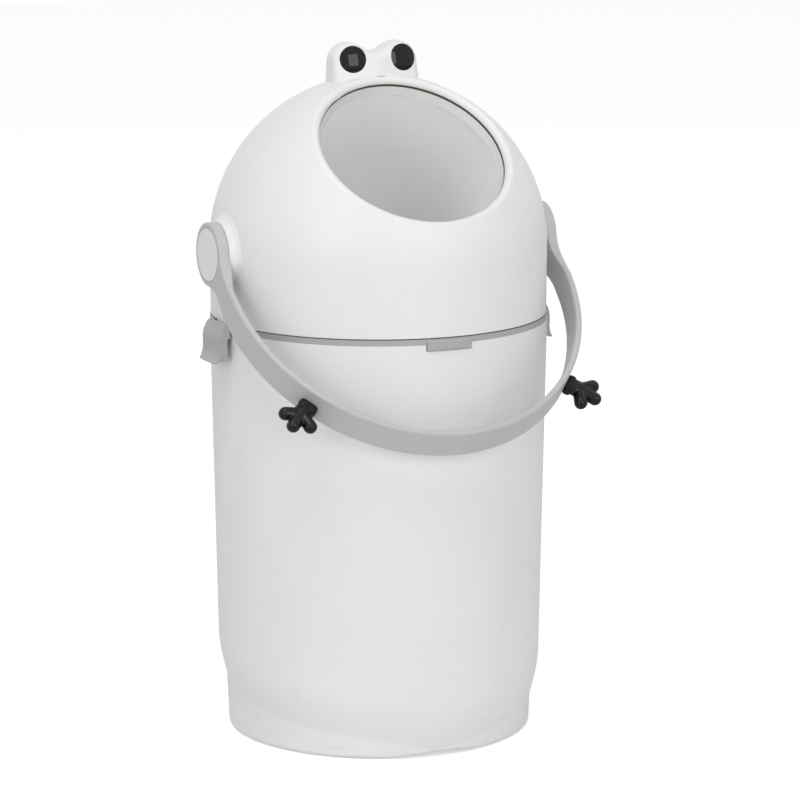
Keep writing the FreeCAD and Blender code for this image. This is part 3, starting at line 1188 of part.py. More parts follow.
def hand():
    """Right rubber hand: wrist block, palm and three splayed fingers, held by a press stud."""
    frame = hand_frame()
    bed = STRAP_THICKNESS / 2
    wrist = Part.makeBox(WRIST_DEPTH + bed, WRIST_WIDTH, WRIST_HEIGHT,
                         Vector(-bed, -WRIST_WIDTH / 2, -WRIST_HEIGHT / 2))
    corners = [e for e in wrist.Edges if e.BoundBox.XLength > WRIST_DEPTH]
    wrist = wrist.makeFillet(WRIST_EDGE, corners)
    wrist = placed(wrist, frame).cut(strap_prism(bed))
    palm_centre = Vector(PALM_REACH, 0, 0)
    palm = Part.makeCylinder(PALM_RADIUS, 2 * FINGER_RADIUS, palm_centre - Z_AXIS * FINGER_RADIUS)
    palm = palm.makeFillet(FINGER_RADIUS / 2, [e for e in palm.Edges if e.Closed])
    solids = [palm]
    for angle, length in FINGERS:
        along = Vector(math.cos(math.radians(angle)), math.sin(math.radians(angle)), 0)
        solids.append(Part.makeCylinder(FINGER_RADIUS, length, palm_centre, along))
        solids.append(Part.makeSphere(FINGER_RADIUS, palm_centre + along * length))
    solids.append(hand_stud())
    return wrist.fuse([placed(solid, frame) for solid in solids]).removeSplitter()


NODES = {
    "bin_body": bin_body,
    "foot_pads": foot_pads,
    "bag_ring": bag_ring,
    "head_seal": head_seal,
    "dome_shell": dome_shell,
    "drum_cradle": drum_cradle,
    "cradle_screws": cradle_screws,
    "aperture_seal": lambda: placed(drum_seal(), APERTURE_FRAME),
    "cradle_seal": lambda: placed(drum_seal(), MOUTH_LOW_FRAME),
    "pivot_bush_right": pivot_bush,
    "pivot_bush_left": lambda: mirrored(pivot_bush()),
    "drum_half_right": drum_half,
    "drum_half_left": lambda: half_turned(drum_half()),
    "drum_tube": drum_tube,
    "mouth_ring_upper": lambda: placed(mouth_ring(), APERTURE_FRAME),
    "mouth_ring_lower": lambda: placed(mouth_ring(), MOUTH_LOW_FRAME),
    "drum_hub_right": drum_hub,
    "drum_hub_left": lambda: mirrored(drum_hub()),
    "hub_screws": hub_screws,
    "drum_screws": drum_screws,
    "piston_body": piston_body,
    "piston_cover": piston_cover,
    "piston_ballast": piston_ballast,
    "piston_seals": piston_seals,
    "handle": handle,
    "handle_screws": handle_screws,
    "handle_cap_right": handle_cap,
    "handle_cap_left": lambda: mirrored(handle_cap()),
    "hand_right": hand,
    "hand_left": lambda: mirrored(hand()),
    "latch_right": latch,
    "latch_left": lambda: mirrored(latch()),
    "latch_pins": lambda: both_sides(latch_pin_solid()),
    "eye_mount": eye_mount,
    "eye_lens_right": lambda: eye_lens(1),
    "eye_lens_left": lambda: eye_lens(-1),
    "brow_screws": brow_screws,
}

os.makedirs("parts", exist_ok=True)
for name, build in NODES.items():
    shape = build()
    shape.exportStep(os.path.join("parts", name + ".step"))
    print(name, len(shape.Solids), round(shape.Volume / 1000, 2), shape.isValid())
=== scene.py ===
import math

import bmesh
import bpy
import numpy as np
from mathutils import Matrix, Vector


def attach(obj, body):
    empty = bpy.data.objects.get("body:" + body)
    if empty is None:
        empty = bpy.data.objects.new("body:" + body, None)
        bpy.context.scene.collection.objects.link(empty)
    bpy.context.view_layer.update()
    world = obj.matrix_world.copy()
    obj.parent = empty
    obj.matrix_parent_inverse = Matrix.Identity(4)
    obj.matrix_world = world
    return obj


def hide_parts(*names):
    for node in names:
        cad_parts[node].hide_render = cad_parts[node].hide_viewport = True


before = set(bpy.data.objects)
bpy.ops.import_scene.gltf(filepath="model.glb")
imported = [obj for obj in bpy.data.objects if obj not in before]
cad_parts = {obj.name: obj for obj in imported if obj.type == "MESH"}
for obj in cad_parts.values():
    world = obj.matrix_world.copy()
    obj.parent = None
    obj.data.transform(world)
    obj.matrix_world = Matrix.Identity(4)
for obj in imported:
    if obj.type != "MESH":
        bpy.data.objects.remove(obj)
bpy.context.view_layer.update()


# ---- bin ----------------------------------------------------------------------------------------
# One tall injection moulding in white polypropylene with a satin, finely eroded skin. Its rounded
# belly closes in above a plinth, and its lowest few centimetres carry painted shade near the floor
# as darker, rougher blotches.
class Reading:
    """A number that varies over a surface; each of Python's operators adds the node for it."""

    def __init__(self, wiring, socket):
        self.wiring = wiring
        self.socket = socket

    def math(self, operation, first, second):
        return self.wiring.node("Math", {0: first, 1: second}, operation=operation)

    def __add__(self, other):
        return self.math("ADD", self, other)

    def __sub__(self, other):
        return self.math("SUBTRACT", self, other)

    def __rsub__(self, other):
        return self.math("SUBTRACT", other, self)

    def __mul__(self, other):
        return self.math("MULTIPLY", self, other)

    __radd__ = __add__
    __rmul__ = __mul__


class Wiring:
    """The nodes of a material or of the surround, and the shader that they feed."""

    def __init__(self, owner, shader):
        owner.use_nodes = True
        self.owner = owner
        self.tree = owner.node_tree
        self.shader = self.tree.nodes[shader]

    def node(self, kind, values=(), output=0, **settings):
        """Adds a node, sets its settings, then its sockets, and returns one of its outputs."""
        made = self.tree.nodes.new("ShaderNode" + kind)
        for setting, choice in settings.items():
            setattr(made, setting, choice)
        for socket, value in dict(values).items():
            if isinstance(value, Reading):
                self.tree.links.new(value.socket, made.inputs[socket])
            else:
                made.inputs[socket].default_value = value
        return Reading(self, made.outputs[output])

    def between(self, value, low, high):
        """Smooth step that is 0 below low and 1 above high."""
        return self.node("MapRange", {"Value": value, "From Min": low, "From Max": high},
                         interpolation_type="SMOOTHSTEP")

    def tint(self, mask, plain, other):
        """Blends from the plain colour to the other one by the mask."""
        colours = {0: mask}
        for socket, colour in ((6, plain), (7, other)):
            colours[socket] = colour if isinstance(colour, Reading) else (*colour, 1.0)
        return self.node("Mix", colours, output=2, data_type="RGBA")

    def feed(self, socket, value):
        """Joins a varying value to one of the shader's sockets."""
        self.tree.links.new(value.socket, self.shader.inputs[socket])


class Finish(Wiring):
    """One surface finish. What is the same all over is set on the shader's own sockets."""

    def __init__(self, name, **fixed):
        super().__init__(bpy.data.materials.new(name), "Principled BSDF")
        for socket, value in fixed.items():
            self.shader.inputs[socket.replace("_", " ")].default_value = value
        self.place = self.node("TexCoord", output="Object")

    def cloud(self, size, detail=2.0, stretch=(1.0, 1.0, 1.0)):
        """Soft random spots about that many metres across, between 0 and 1."""
        pulled = self.node("Mapping", {"Vector": self.place, "Scale": stretch})
        return self.node("TexNoise", {"Vector": pulled, "Scale": 1.0 / size, "Detail": detail})

    def axis(self, name):
        """The surface point's own X, Y or Z, in metres."""
        return self.node("SeparateXYZ", {0: self.place}, output=name)

    def away_from(self, point):
        """Distance of the surface point from a fixed point, in metres."""
        offset = self.node("VectorMath", {0: self.place, 1: point}, operation="SUBTRACT")
        return self.node("VectorMath", {0: offset}, output="Value", operation="LENGTH")

    def emboss(self, height):
        """Raises the surface by a height in metres."""
        self.feed("Normal", self.node("Bump", {"Height": height, "Strength": 1.0, "Distance": 1.0}))


FLOW_SIZE = 0.09            # widths of the clouds in a moulded surface
COARSE_SIZE = 0.012
FINE_SIZE = 0.0009


def moulded(name, colour, roughness=0.45, grain=4e-6, shift=0.03, specular=0.5):
    """Injection moulded plastic: fine eroded grain, faint flow clouds in colour and in gloss.

    The grain is the height of its finest spots, in metres, and the shift is the share by which
    the clouds darken the colour.
    """
    finish = Finish(name, IOR=1.49, Specular_IOR_Level=specular)
    flow = finish.cloud(FLOW_SIZE, 3.0)
    fine = finish.cloud(FINE_SIZE)
    coarse = finish.cloud(COARSE_SIZE)
    deeper = tuple(channel * (1 - shift) for channel in colour)
    finish.colour = finish.tint(finish.between(flow * 0.7 + coarse * 0.3, 0.3, 0.7),
                                deeper, colour)
    finish.gloss = flow * 0.08 + fine * 0.06 + (roughness - 0.07)
    finish.feed("Base Color", finish.colour)
    finish.feed("Roughness", finish.gloss)
    finish.grain = fine * grain + coarse * (grain * 2.5)
    finish.emboss(finish.grain)
    return finish


def dress(finish, *nodes):
    """Gives carried-over pieces their finish."""
    for name in nodes:
        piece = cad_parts[name]
        piece.data.materials.clear()
        piece.data.materials.append(finish.owner)


WHITE = (0.80, 0.80, 0.80)
# Painted shade near the floor: low down, the bin's white turns to this darker white in blotches.
WHITE_PAINTED_SHADE = (0.70, 0.695, 0.685)
PAINTED_SHADE_HEIGHT = 0.055        # painted shade thins out up to this height above the floor
SHADE_BLOTCH_SIZE = 0.010
SHADE_BLOTCH_STRETCH = (0.35, 0.35, 1.6)    # its blotches are longer round the bin than upwards
SHADE_BLOTCH_ONSET = (0.58, 0.72)  # a blotch of painted shade sets in between these values of its cloud
PAINTED_SHADE_TINT = 0.6            # how far the darkest painted shade changes the colour
BLOTCH_ROUGHENING = 0.18     # and how much rougher it is

bin_plastic = moulded("bin_plastic", WHITE, roughness=0.46)
# Blotches of painted shade in the lowest few centimetres, darker and rougher than the rest.
shade_blotches = bin_plastic.cloud(SHADE_BLOTCH_SIZE, 5.0, SHADE_BLOTCH_STRETCH)
low_down = 1.0 - bin_plastic.between(bin_plastic.axis("Z"), 0.0, PAINTED_SHADE_HEIGHT)
painted_floor_shade = bin_plastic.between(shade_blotches, *SHADE_BLOTCH_ONSET) * low_down
bin_plastic.feed("Base Color",
                 bin_plastic.tint(painted_floor_shade * PAINTED_SHADE_TINT, bin_plastic.colour, WHITE_PAINTED_SHADE))
bin_plastic.feed("Roughness", bin_plastic.gloss + painted_floor_shade * BLOTCH_ROUGHENING)
dress(bin_plastic, "bin_body")

# ---- foot pads ----------------------------------------------------------------------------------
# Five soft black rubber pads, four round the plinth and one in the middle, are pressed into their
# sockets and keep the bin from sliding.
foot_rubber = moulded("foot_rubber", (0.015, 0.015, 0.015), roughness=0.7, grain=1.2e-5)
dress(foot_rubber, "foot_pads")

# ---- bag ring -----------------------------------------------------------------------------------
# A loose ring in grey polypropylene clamps the bag over the bin's rim; its finger tab drops into
# a pocket in front.
grey_plastic = moulded("grey_plastic", (0.405, 0.40, 0.41), roughness=0.42)
dress(grey_plastic, "bag_ring")

# ---- head seal ----------------------------------------------------------------------------------
# A thin ring of soft dark rubber under the head rests on the bag ring and keeps the smell in. It
# stays with the head when that is lifted off.
seal_rubber = moulded("seal_rubber", (0.10, 0.10, 0.10), roughness=0.75, grain=1e-5)
dress(seal_rubber, "head_seal")

# ---- head ---------------------------------------------------------------------------------------
# The ball-shaped casing is a white moulding like the bin, screwed to a grey cradle that carries
# the drum. A merged copy of the casing stands in for it, so that its shading runs evenly past
# the aperture's lip.
CASING_WELD = 2e-6          # points closer than this are merged
CASING_SLIVER = 5e-6        # and edges shorter than this are dissolved
CASING_CREASE = math.radians(32.0)   # edges sharper than this stay sharp


def put_in_scene(name, data):
    """A new object of that name and data, at the origin."""
    thing = bpy.data.objects.new(name, data)
    bpy.context.scene.collection.objects.link(thing)
    return thing


dome_plastic = moulded("dome_plastic", WHITE, roughness=0.44)
casing = put_in_scene("dome_casing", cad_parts["dome_shell"].data.copy())
skin = bmesh.new()
skin.from_mesh(casing.data)
bmesh.ops.remove_doubles(skin, verts=skin.verts, dist=CASING_WELD)
bmesh.ops.dissolve_degenerate(skin, edges=skin.edges, dist=CASING_SLIVER)
skin.to_mesh(casing.data)
skin.free()
carried_over = casing.data.attributes.get("custom_normal")
if carried_over is not None:
    casing.data.attributes.remove(carried_over)
casing.data.shade_smooth()
casing.data.set_sharp_from_angle(angle=CASING_CREASE)
casing.data.materials.clear()
casing.data.materials.append(dome_plastic.owner)
shaded = casing.modifiers.new("even_shading", "WEIGHTED_NORMAL")
shaded.keep_sharp = True
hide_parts("dome_shell")
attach(casing, "head")
dress(grey_plastic, "drum_cradle")

# ---- lands --------------------------------------------------------------------------------------
# Round each of the head's two bearings the casing swells into a smooth white land, which the
# handle's boss turns against.
PIVOT_Z = 0.408             # height of the drum's axis, where the head's ball has its centre
LAND_FACE_X = 0.1435        # the land's flat face, either side of the middle
LAND_INNER = 0.0240         # radius at which it goes in behind the boss
LAND_SHOULDER = 0.0266      # radius at which its slope starts
LAND_FOOT = 0.0355          # radius at which it has run out into the ball
LAND_SINK = 0.0003          # its foot ends this far under the ball's skin
LAND_BACK = 0.002           # and its hidden back lies this much deeper
DOME_RADIUS = 0.140
POINT_WELD = 1e-6           # points of a new mesh closer than this are one point


def grid_faces(rows, columns):
    """Quads between neighbouring points of a grid whose last column joins its first one."""
    row = np.arange(rows - 1)[:, None] * columns
    here = np.arange(columns)
    beside = (here + 1) % columns
    corners = [row + here, row + beside, row + columns + beside, row + columns + here]
    return np.stack(corners, -1).reshape(-1, 4)


def made_piece(name, grids, crease=40.0):
    """One object from closed grids of points, each (rows, columns, 3), in metres.

    Every grid's columns go round. Points that fall on each other are merged, which closes seams
    and poles, faces are turned outwards, and edges sharper than the crease angle stay sharp.
    """
    points = np.concatenate([grid.reshape(-1, 3) for grid in grids])
    starts = np.cumsum([0] + [grid.shape[0] * grid.shape[1] for grid in grids[:-1]])
    faces = np.concatenate([grid_faces(*grid.shape[:2]) + start
                            for grid, start in zip(grids, starts)])
    mesh = bpy.data.meshes.new(name)
    mesh.from_pydata(points.tolist(), [], faces.tolist())
    shape = bmesh.new()
    shape.from_mesh(mesh)
    bmesh.ops.remove_doubles(shape, verts=shape.verts, dist=POINT_WELD)
    bmesh.ops.recalc_face_normals(shape, faces=shape.faces)
    shape.to_mesh(mesh)
    shape.free()
    mesh.shade_smooth()
    mesh.set_sharp_from_angle(angle=math.radians(crease))
    return put_in_scene(name, mesh)


def turned(profile, side, count=144):
    """Closed lathe round the drum's axis of (x, radius) points, on the right (1) or left (-1).

    A point goes to (side x, r cos t, r sin t) about the axis, for t all the way round.
    """
    x, radius = np.asarray(profile, float).T
    turn = np.linspace(0, 2 * np.pi, count, endpoint=False)
    return np.stack([side * x[:, None] + 0 * turn,
                     radius[:, None] * np.cos(turn),
                     PIVOT_Z + radius[:, None] * np.sin(turn)], -1)


def land_profile():
    """(x, radius) points: a flat face with a soft shoulder, then a long hollow down to the ball.

    With u from 0 at the shoulder to 1 at the foot, x is the face's by 1 - s and the ball's by s,
    where s = 1 - (1 - u) ** 3 (1 + 1.2 u), and the ball's x at radius r is the root of R R - r r.
    The points crowd at the shoulder, as u is an even step to the power 1.4.
    """
    u = np.linspace(0, 1, 32) ** 1.4
    radius = LAND_SHOULDER + (LAND_FOOT - LAND_SHOULDER) * u
    share = 1 - (1 - u) ** 3 * (1 + 1.2 * u)
    ball_x = np.sqrt(DOME_RADIUS ** 2 - radius ** 2) - LAND_SINK
    slope = np.stack([LAND_FACE_X * (1 - share) + ball_x * share, radius], -1)
    deep = ball_x[-1] - LAND_BACK
    back = [(deep, LAND_FOOT), (deep, LAND_INNER), (LAND_FACE_X, LAND_INNER)]
    return np.concatenate([back, slope, back[:1]])


lands = made_piece("bearing_lands", [turned(land_profile(), side) for side in (-1, 1)])
lands.data.materials.append(dome_plastic.owner)
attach(lands, "head")

# ---- bushes and seals ---------------------------------------------------------------------------
# Turned-looking bushes in natural polymer carry the hubs; brown rubber lips close the aperture
# and the cradle against the drum.
bush_plastic = moulded("bush_plastic", (0.82, 0.82, 0.80), roughness=0.3)
dress(bush_plastic, "pivot_bush_right", "pivot_bush_left", "drum_hub_right", "drum_hub_left")
brown_rubber = moulded("brown_rubber", (0.11, 0.075, 0.05), roughness=0.7, grain=1e-5)
dress(brown_rubber, "aperture_seal", "cradle_seal")

# ---- drum ---------------------------------------------------------------------------------------
# Two cream half shells are screwed round a pale tube that takes the nappy; a funnel ring guards
# each of the tube's mouths.
drum_plastic = moulded("drum_plastic", (0.76, 0.75, 0.71), roughness=0.4)
dress(drum_plastic, "drum_half_right", "drum_half_left")
mouth_plastic = moulded("mouth_plastic", (0.68, 0.68, 0.67), roughness=0.5)
dress(mouth_plastic, "mouth_ring_upper", "mouth_ring_lower")
tube_plastic = moulded("tube_plastic", (0.91, 0.91, 0.92), roughness=0.5)
dress(tube_plastic, "drum_tube", "piston_body", "piston_cover")

# ---- piston and fasteners -----------------------------------------------------------------------
# Two grey felt bands seal the heavy piston in its tube. All screws, pins and the piston's ballast
# are bright zinc-plated steel.
felt = moulded("felt", (0.45, 0.45, 0.44), roughness=0.9, grain=6e-5)
dress(felt, "piston_seals")
steel = Finish("steel", Metallic=1.0)
steel.feed("Base Color", steel.tint(steel.cloud(0.004), (0.56, 0.56, 0.55), (0.66, 0.66, 0.64)))
steel.feed("Roughness", steel.cloud(0.001) * 0.2 + 0.25)
dress(steel, "cradle_screws", "hub_screws", "drum_screws", "piston_ballast", "handle_screws",
      "latch_pins", "brow_screws")

# ---- handle -------------------------------------------------------------------------------------
# One bail in grey polypropylene: a flat strap with softly rounded edges that thickens into a round
# boss at each end. The bosses sit on the drum's square hubs, so the bail turns the drum.
DROOP = math.radians(40.4)  # it hangs this far below the horizontal, to the front
BOSS_RADIUS = 0.0265
BOSS_IN = 0.1438            # inner and outer faces of each boss
BOSS_OUT = 0.1523
POCKET_RADIUS = 0.0218      # seat of the round cap
POCKET_FLOOR = 0.1496
POCKET_LIP = 0.0003         # bevel of the seat's edge
STRAP_HALF = 0.150          # half of the bail's width, at the strap's middle line
STRAP_REACH = 0.2132        # pivot to the middle of the strap's front
STRAP_ARM = 0.053           # straight part of each arm
STRAP_WIDTH = 0.0285
STRAP_THICKNESS = 0.0055
STRAP_ROUND = 0.0026        # rounding of the strap's edges
BOSS_ROUND = 0.0016         # and of the boss's outer edge, where the two meet
BOSS_BACK_ROUND = 0.0004    # the boss's edge towards the land stays crisp
NECK_LEAVE = math.radians(50.0)      # the strap's edges leave the boss at this angle
NECK_LENGTH = 0.008         # they are parallel this far past the arm's end
HIDDEN_RADIUS = 0.0236      # the strap starts this far from the axis, inside the boss
HIDDEN_DROP = 0.00003       # and lies this much under the boss's two faces


def in_bin_frame(points):
    """Turns points from the bail's own frame, Y along its arms, to the bin's frame."""
    x, y, z = np.moveaxis(points, -1, 0)
    return np.stack([x, -y * math.cos(DROOP) + z * math.sin(DROOP),
                     PIVOT_Z - y * math.sin(DROOP) - z * math.cos(DROOP)], -1)


def strap_line(s):
    """Middle line in plan and its outward side, for s from -1, left arm, to 1, right arm.

    The arm is straight for the first shares of s, then the front is half an ellipse
    (a sin t, arm + b cos t), with t in step with s.
    """
    depth = STRAP_REACH - STRAP_ARM
    front = 0.5 * math.pi * 0.5 * (STRAP_HALF + depth)
    along = np.abs(s) * (front + STRAP_ARM)
    turn = np.clip(along / front, 0, 1) * math.pi / 2
    x = STRAP_HALF * np.sin(turn)
    y = STRAP_ARM + depth * np.cos(turn) - np.clip(along - front, 0, None)
    side_x = depth * np.sin(turn)
    side_y = STRAP_HALF * np.cos(turn)
    long = np.hypot(side_x, side_y)
    outward = np.stack([np.sign(s) * side_x, side_y], -1) / long[..., None]
    return np.stack([np.sign(s) * x, y], -1), outward


def eased(value, low, high):
    """0 below low, 1 above high, and u u (3 - 2 u) between."""
    u = np.clip((value - low) / (high - low), 0, 1)
    return u * u * (3 - 2 * u)


def neck_half_width(y):
    """Half width of the strap at a distance y from the pivot, along the arm.

    A cubic Hermite curve from the boss's circle, on its tangent, to the parallel strap.
    """
    y0, z0 = BOSS_RADIUS * math.cos(NECK_LEAVE), BOSS_RADIUS * math.sin(NECK_LEAVE)
    y1, z1 = STRAP_ARM + NECK_LENGTH, STRAP_WIDTH / 2
    u = np.clip((y - y0) / (y1 - y0), 0, 1)
    start = -(y1 - y0) / math.tan(NECK_LEAVE)
    return (z0 * (1 - 3 * u * u + 2 * u ** 3) + start * (u - 2 * u * u + u ** 3)
            + z1 * (3 * u * u - 2 * u ** 3))


def rounded_offset(reach, inset, radius):
    """Height of a slab's face with its rim rounded off by a circle of the radius.

    With d the inset from the rim, it is reach - radius + sqrt(radius ** 2 - (radius - d) ** 2).
    """
    left = radius - np.clip(inset, 0, radius)
    return reach - radius + np.sqrt(np.clip(radius ** 2 - left ** 2, 0, None))


def strap_grid(rows=301, across=23):
    """Closed tube of points: at each place along the bail, its outer face and its inner face.

    Across the strap v runs from -1 to 1 as a sine, so that points crowd in the rounded edges. The
    first and last rows follow a curve round the boss's axis, hidden in the boss, whose radius
    grows from the hidden one to the boss's as v ** 8.
    """
    s = np.linspace(-1, 1, rows)[:, None]
    v = np.sin(np.linspace(-0.5, 0.5, 2 * across + 1) * math.pi)[None, :]
    line, outward = strap_line(s)
    y = line[..., 1]
    arm_share = np.clip(y / STRAP_ARM, 0, 1)
    leave_y = BOSS_RADIUS * math.cos(NECK_LEAVE)
    start_radius = HIDDEN_RADIUS + (BOSS_RADIUS - HIDDEN_RADIUS) * v ** 8
    start_y = np.sqrt(start_radius ** 2 - (BOSS_RADIUS * math.sin(NECK_LEAVE) * v) ** 2)
    row_y = np.where(y < STRAP_ARM, start_y + (STRAP_ARM - start_y) * arm_share, y)
    edge_y = np.where(y < STRAP_ARM, leave_y + (STRAP_ARM - leave_y) * arm_share, y)
    half = neck_half_width(edge_y)
    step = 1e-4
    slope = (neck_half_width(edge_y + step) - neck_half_width(edge_y - step)) / (2 * step)
    inset = half * (1 - np.abs(v)) / np.hypot(1, slope)
    thin = eased(row_y, BOSS_RADIUS, STRAP_ARM)
    faces = []
    for boss_reach, boss_round, sign in ((BOSS_OUT - STRAP_HALF, BOSS_ROUND, 1),
                                         (STRAP_HALF - BOSS_IN, BOSS_BACK_ROUND, -1)):
        reach = (boss_reach - HIDDEN_DROP) * (1 - thin) + STRAP_THICKNESS / 2 * thin
        offset = sign * rounded_offset(reach, inset, boss_round * (1 - thin) + STRAP_ROUND * thin)
        plan = np.stack([line[..., 0] + 0 * v, row_y], -1) + outward * offset[..., None]
        faces.append(np.concatenate([plan, (half * v)[..., None]], -1))
    return in_bin_frame(np.concatenate([faces[0], faces[1][:, ::-1]], 1))


def closed_ends(grid):
    """Adds a middle point's row at both ends, so that the tube's ends are closed by fans."""
    caps = [np.repeat(row.mean(0)[None], len(row), 0)[None] for row in (grid[0], grid[-1])]
    return np.concatenate([caps[0], grid, caps[1]])


def boss_profile():
    """(x, radius) points of a boss: pocket for the cap, outer rim, rounded edges, inner face."""
    turn = np.linspace(0, math.pi / 2, 10)
    edges = []
    for face_x, size, sign in ((BOSS_OUT, BOSS_ROUND, -1), (BOSS_IN, BOSS_BACK_ROUND, 1)):
        edges.append(np.stack([face_x + sign * size * (1 - np.cos(turn)),
                               BOSS_RADIUS - size * (1 - np.sin(turn))], -1))
    outer, inner = edges
    pocket = [(POCKET_FLOOR, 0), (POCKET_FLOOR, POCKET_RADIUS),
              (BOSS_OUT - POCKET_LIP, POCKET_RADIUS), (BOSS_OUT, POCKET_RADIUS + POCKET_LIP)]
    return np.concatenate([pocket, outer, inner[::-1], [(BOSS_IN, 0)]])


handle_plastic = moulded("handle_plastic", (0.50, 0.50, 0.498), roughness=0.45)
bail = made_piece("handle_bail", [closed_ends(strap_grid()), turned(boss_profile(), -1),
                                  turned(boss_profile(), 1)])
bail.data.materials.append(handle_plastic.owner)
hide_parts("handle")
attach(bail, "drum")

# ---- handle caps --------------------------------------------------------------------------------
# A light round cap is pressed over the screw in each boss, in a slightly wider pocket whose gap
# shows as a thin dark ring.
cap_plastic = moulded("cap_plastic", (0.77, 0.77, 0.755), roughness=0.42)
dress(cap_plastic, "handle_cap_right", "handle_cap_left")

# ---- latches ------------------------------------------------------------------------------------
# Two grey latches, one on each side and a little darker than the bail, hang on steel pins from the
# head and snap under a catch on the bin.
latch_plastic = moulded("latch_plastic", (0.40, 0.40, 0.40), roughness=0.4)
dress(latch_plastic, "latch_right", "latch_left")

# ---- brows --------------------------------------------------------------------------------------
# Two joined brows in the same white plastic sit on the crown, one hollow moulding held by screws
# from inside. Their tops are round, their front edges very soft, and the back closes like an egg.
CREST_X = 0.022             # middles of the two round tops
CREST_Z = 0.5588
TOP_RADIUS = 0.0156
VALLEY_Z = 0.5664
FOOT_X = 0.0390
FOOT_Z = 0.538              # the hidden foot, inside the head's wall
FOOT_DEPTH = 0.0012         # nothing reaches further than this under the ball's skin
BROW_HEART_Z = 0.546        # the front's rows shrink towards the point at this height
BROW_ROUND = 0.0068         # rounding of the front edge
BACK_Y = 0.018              # from here the back closes
BACK_REACH = 0.0205
EYE_X = 0.0224              # middle of each eye's plane, which faces out and slightly up
EYE_Y = 0.0004
EYE_Z = 0.5615
EYE_FACING = (0.1361, -0.9686, 0.2079)
CREASE_SOFTNESS = 0.004     # rounding of the crease between the two planes


def brow_outline(count=48):
    """Closed (x, z) outline seen from the front, from the middle of the valley round to it again.

    The valley is a cosine wave up to the crest, the top a quarter circle, and the side a parabola
    down to the foot; the left half mirrors the right one.
    """
    share = np.linspace(0, 1, count)
    turn = share * math.pi / 2
    rise = CREST_Z + TOP_RADIUS - VALLEY_Z
    valley = np.stack([CREST_X * share, VALLEY_Z + rise * (1 - np.cos(math.pi * share)) / 2], -1)
    top = np.stack([CREST_X + TOP_RADIUS * np.sin(turn), CREST_Z + TOP_RADIUS * np.cos(turn)], -1)
    side_x = CREST_X + TOP_RADIUS
    side = np.stack([side_x + (FOOT_X - side_x) * share ** 2,
                     CREST_Z + (FOOT_Z - CREST_Z) * share], -1)
    foot = np.stack([FOOT_X * (1 - share), FOOT_Z + 0 * share], -1)
    right = np.concatenate([valley[:-1], top[:-1], side[:-1], foot[:-1]])
    left = right[::-1] * np.array([-1, 1])
    return np.concatenate([right, left[:-1]])


def eye_plane_y(x, z):
    """Depth of the front at (x, z): the two eyes' planes, joined by a softened crease."""
    across = np.sqrt(x ** 2 + CREASE_SOFTNESS ** 2) - EYE_X
    return EYE_Y - (EYE_FACING[0] * across + EYE_FACING[2] * (z - EYE_Z)) / EYE_FACING[1]


def brow_grid(rings=30):
    """Closed rows of points from the middle of the front, over its edge, to the back's pole.

    The front's rows are the outline shrunk towards a middle point by a sine. Each point lies
    behind the eyes' planes by r - sqrt(r r - (r - d)(r - d)), where d is how far it is inside
    the outline. The back's rows shrink as a cosine while they go back as a sine. Points deep in
    the head are moved out to a ball just under its skin.
    """
    outline = brow_outline()
    middle = np.array([0.0, BROW_HEART_Z])
    foot = np.array([0.0, FOOT_Z])
    rows = []
    for share in np.sin(np.linspace(0.02, 1, rings) * math.pi / 2):
        ring = middle + (outline - middle) * share
        inside = np.linalg.norm(ring[:, None] - outline[None], axis=-1).min(1)
        left = BROW_ROUND - np.clip(inside, 0, BROW_ROUND)
        if share == 1.0:
            left = np.full(len(ring), BROW_ROUND)
        behind = BROW_ROUND - np.sqrt(BROW_ROUND ** 2 - left ** 2)
        y = eye_plane_y(ring[:, 0], ring[:, 1]) + behind
        rows.append(np.stack([ring[:, 0], y, ring[:, 1]], -1))
    front = rows[-1]
    for share in np.linspace(0.25, 1, 4):
        row = front.copy()
        row[:, 1] += (BACK_Y - row[:, 1]) * share
        rows.append(row)
    for turn in np.linspace(0, math.pi / 2, 20)[1:]:
        scaled = foot + (outline - foot) * math.cos(turn)
        y = np.full(len(scaled), BACK_Y + BACK_REACH * math.sin(turn))
        rows.append(np.stack([scaled[:, 0], y, scaled[:, 1]], -1))
    start = np.repeat(rows[0].mean(0)[None], len(outline), 0)
    points = np.stack([start] + rows) - np.array([0, 0, PIVOT_Z])
    reach = np.linalg.norm(points, axis=-1, keepdims=True)
    least = DOME_RADIUS - FOOT_DEPTH
    return points * np.maximum(1, least / reach) + np.array([0, 0, PIVOT_Z])


brows = made_piece("brows", [brow_grid()], crease=60.0)
brows.data.materials.append(dome_plastic.owner)
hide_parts("eye_mount")
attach(brows, "head")

# ---- eyes ---------------------------------------------------------------------------------------
# Each eye is a polished black disc with a gently domed front, pressed into the brows and turned a
# little outwards and up.
eye_gloss = moulded("eye_gloss", (0.003, 0.003, 0.004), roughness=0.08, grain=0.0, shift=0.5,
                    specular=0.32)
dress(eye_gloss, "eye_lens_right", "eye_lens_left")

# ---- hands --------------------------------------------------------------------------------------
# Two soft hands in black rubber, each moulded in one with a wrist, a palm and three fat fingers,
# are pressed on to the front of the strap by a stud.
HAND_STATION = math.radians(41.0)    # place round the strap's front ellipse
HAND_DROP = 0.003           # below the middle of the strap
HAND_SHIFT = 0.0016         # it sits this far forward of that station
WRIST = (0.0070, 0.0082, 0.0056)     # its reach outwards and its half sizes along and across
WRIST_SINK = 0.0006         # its foot starts this far inside the strap
WRIST_POWER = 0.42          # the lower, the squarer the wrist
PALM_ROOT = 0.004           # the middles of the palm's two ends, outwards from the strap
PALM_REACH = 0.0115
PALM_RADII = (0.0076, 0.0080)        # at the wrist and at the knuckles
PALM_FLATNESS = 0.72
FINGERS = ((-47.0, 0.0134), (7.0, 0.0152), (64.0, 0.0140))       # direction, and length
FINGER_RADII = (0.0052, 0.0056)      # at the knuckle and at the tip
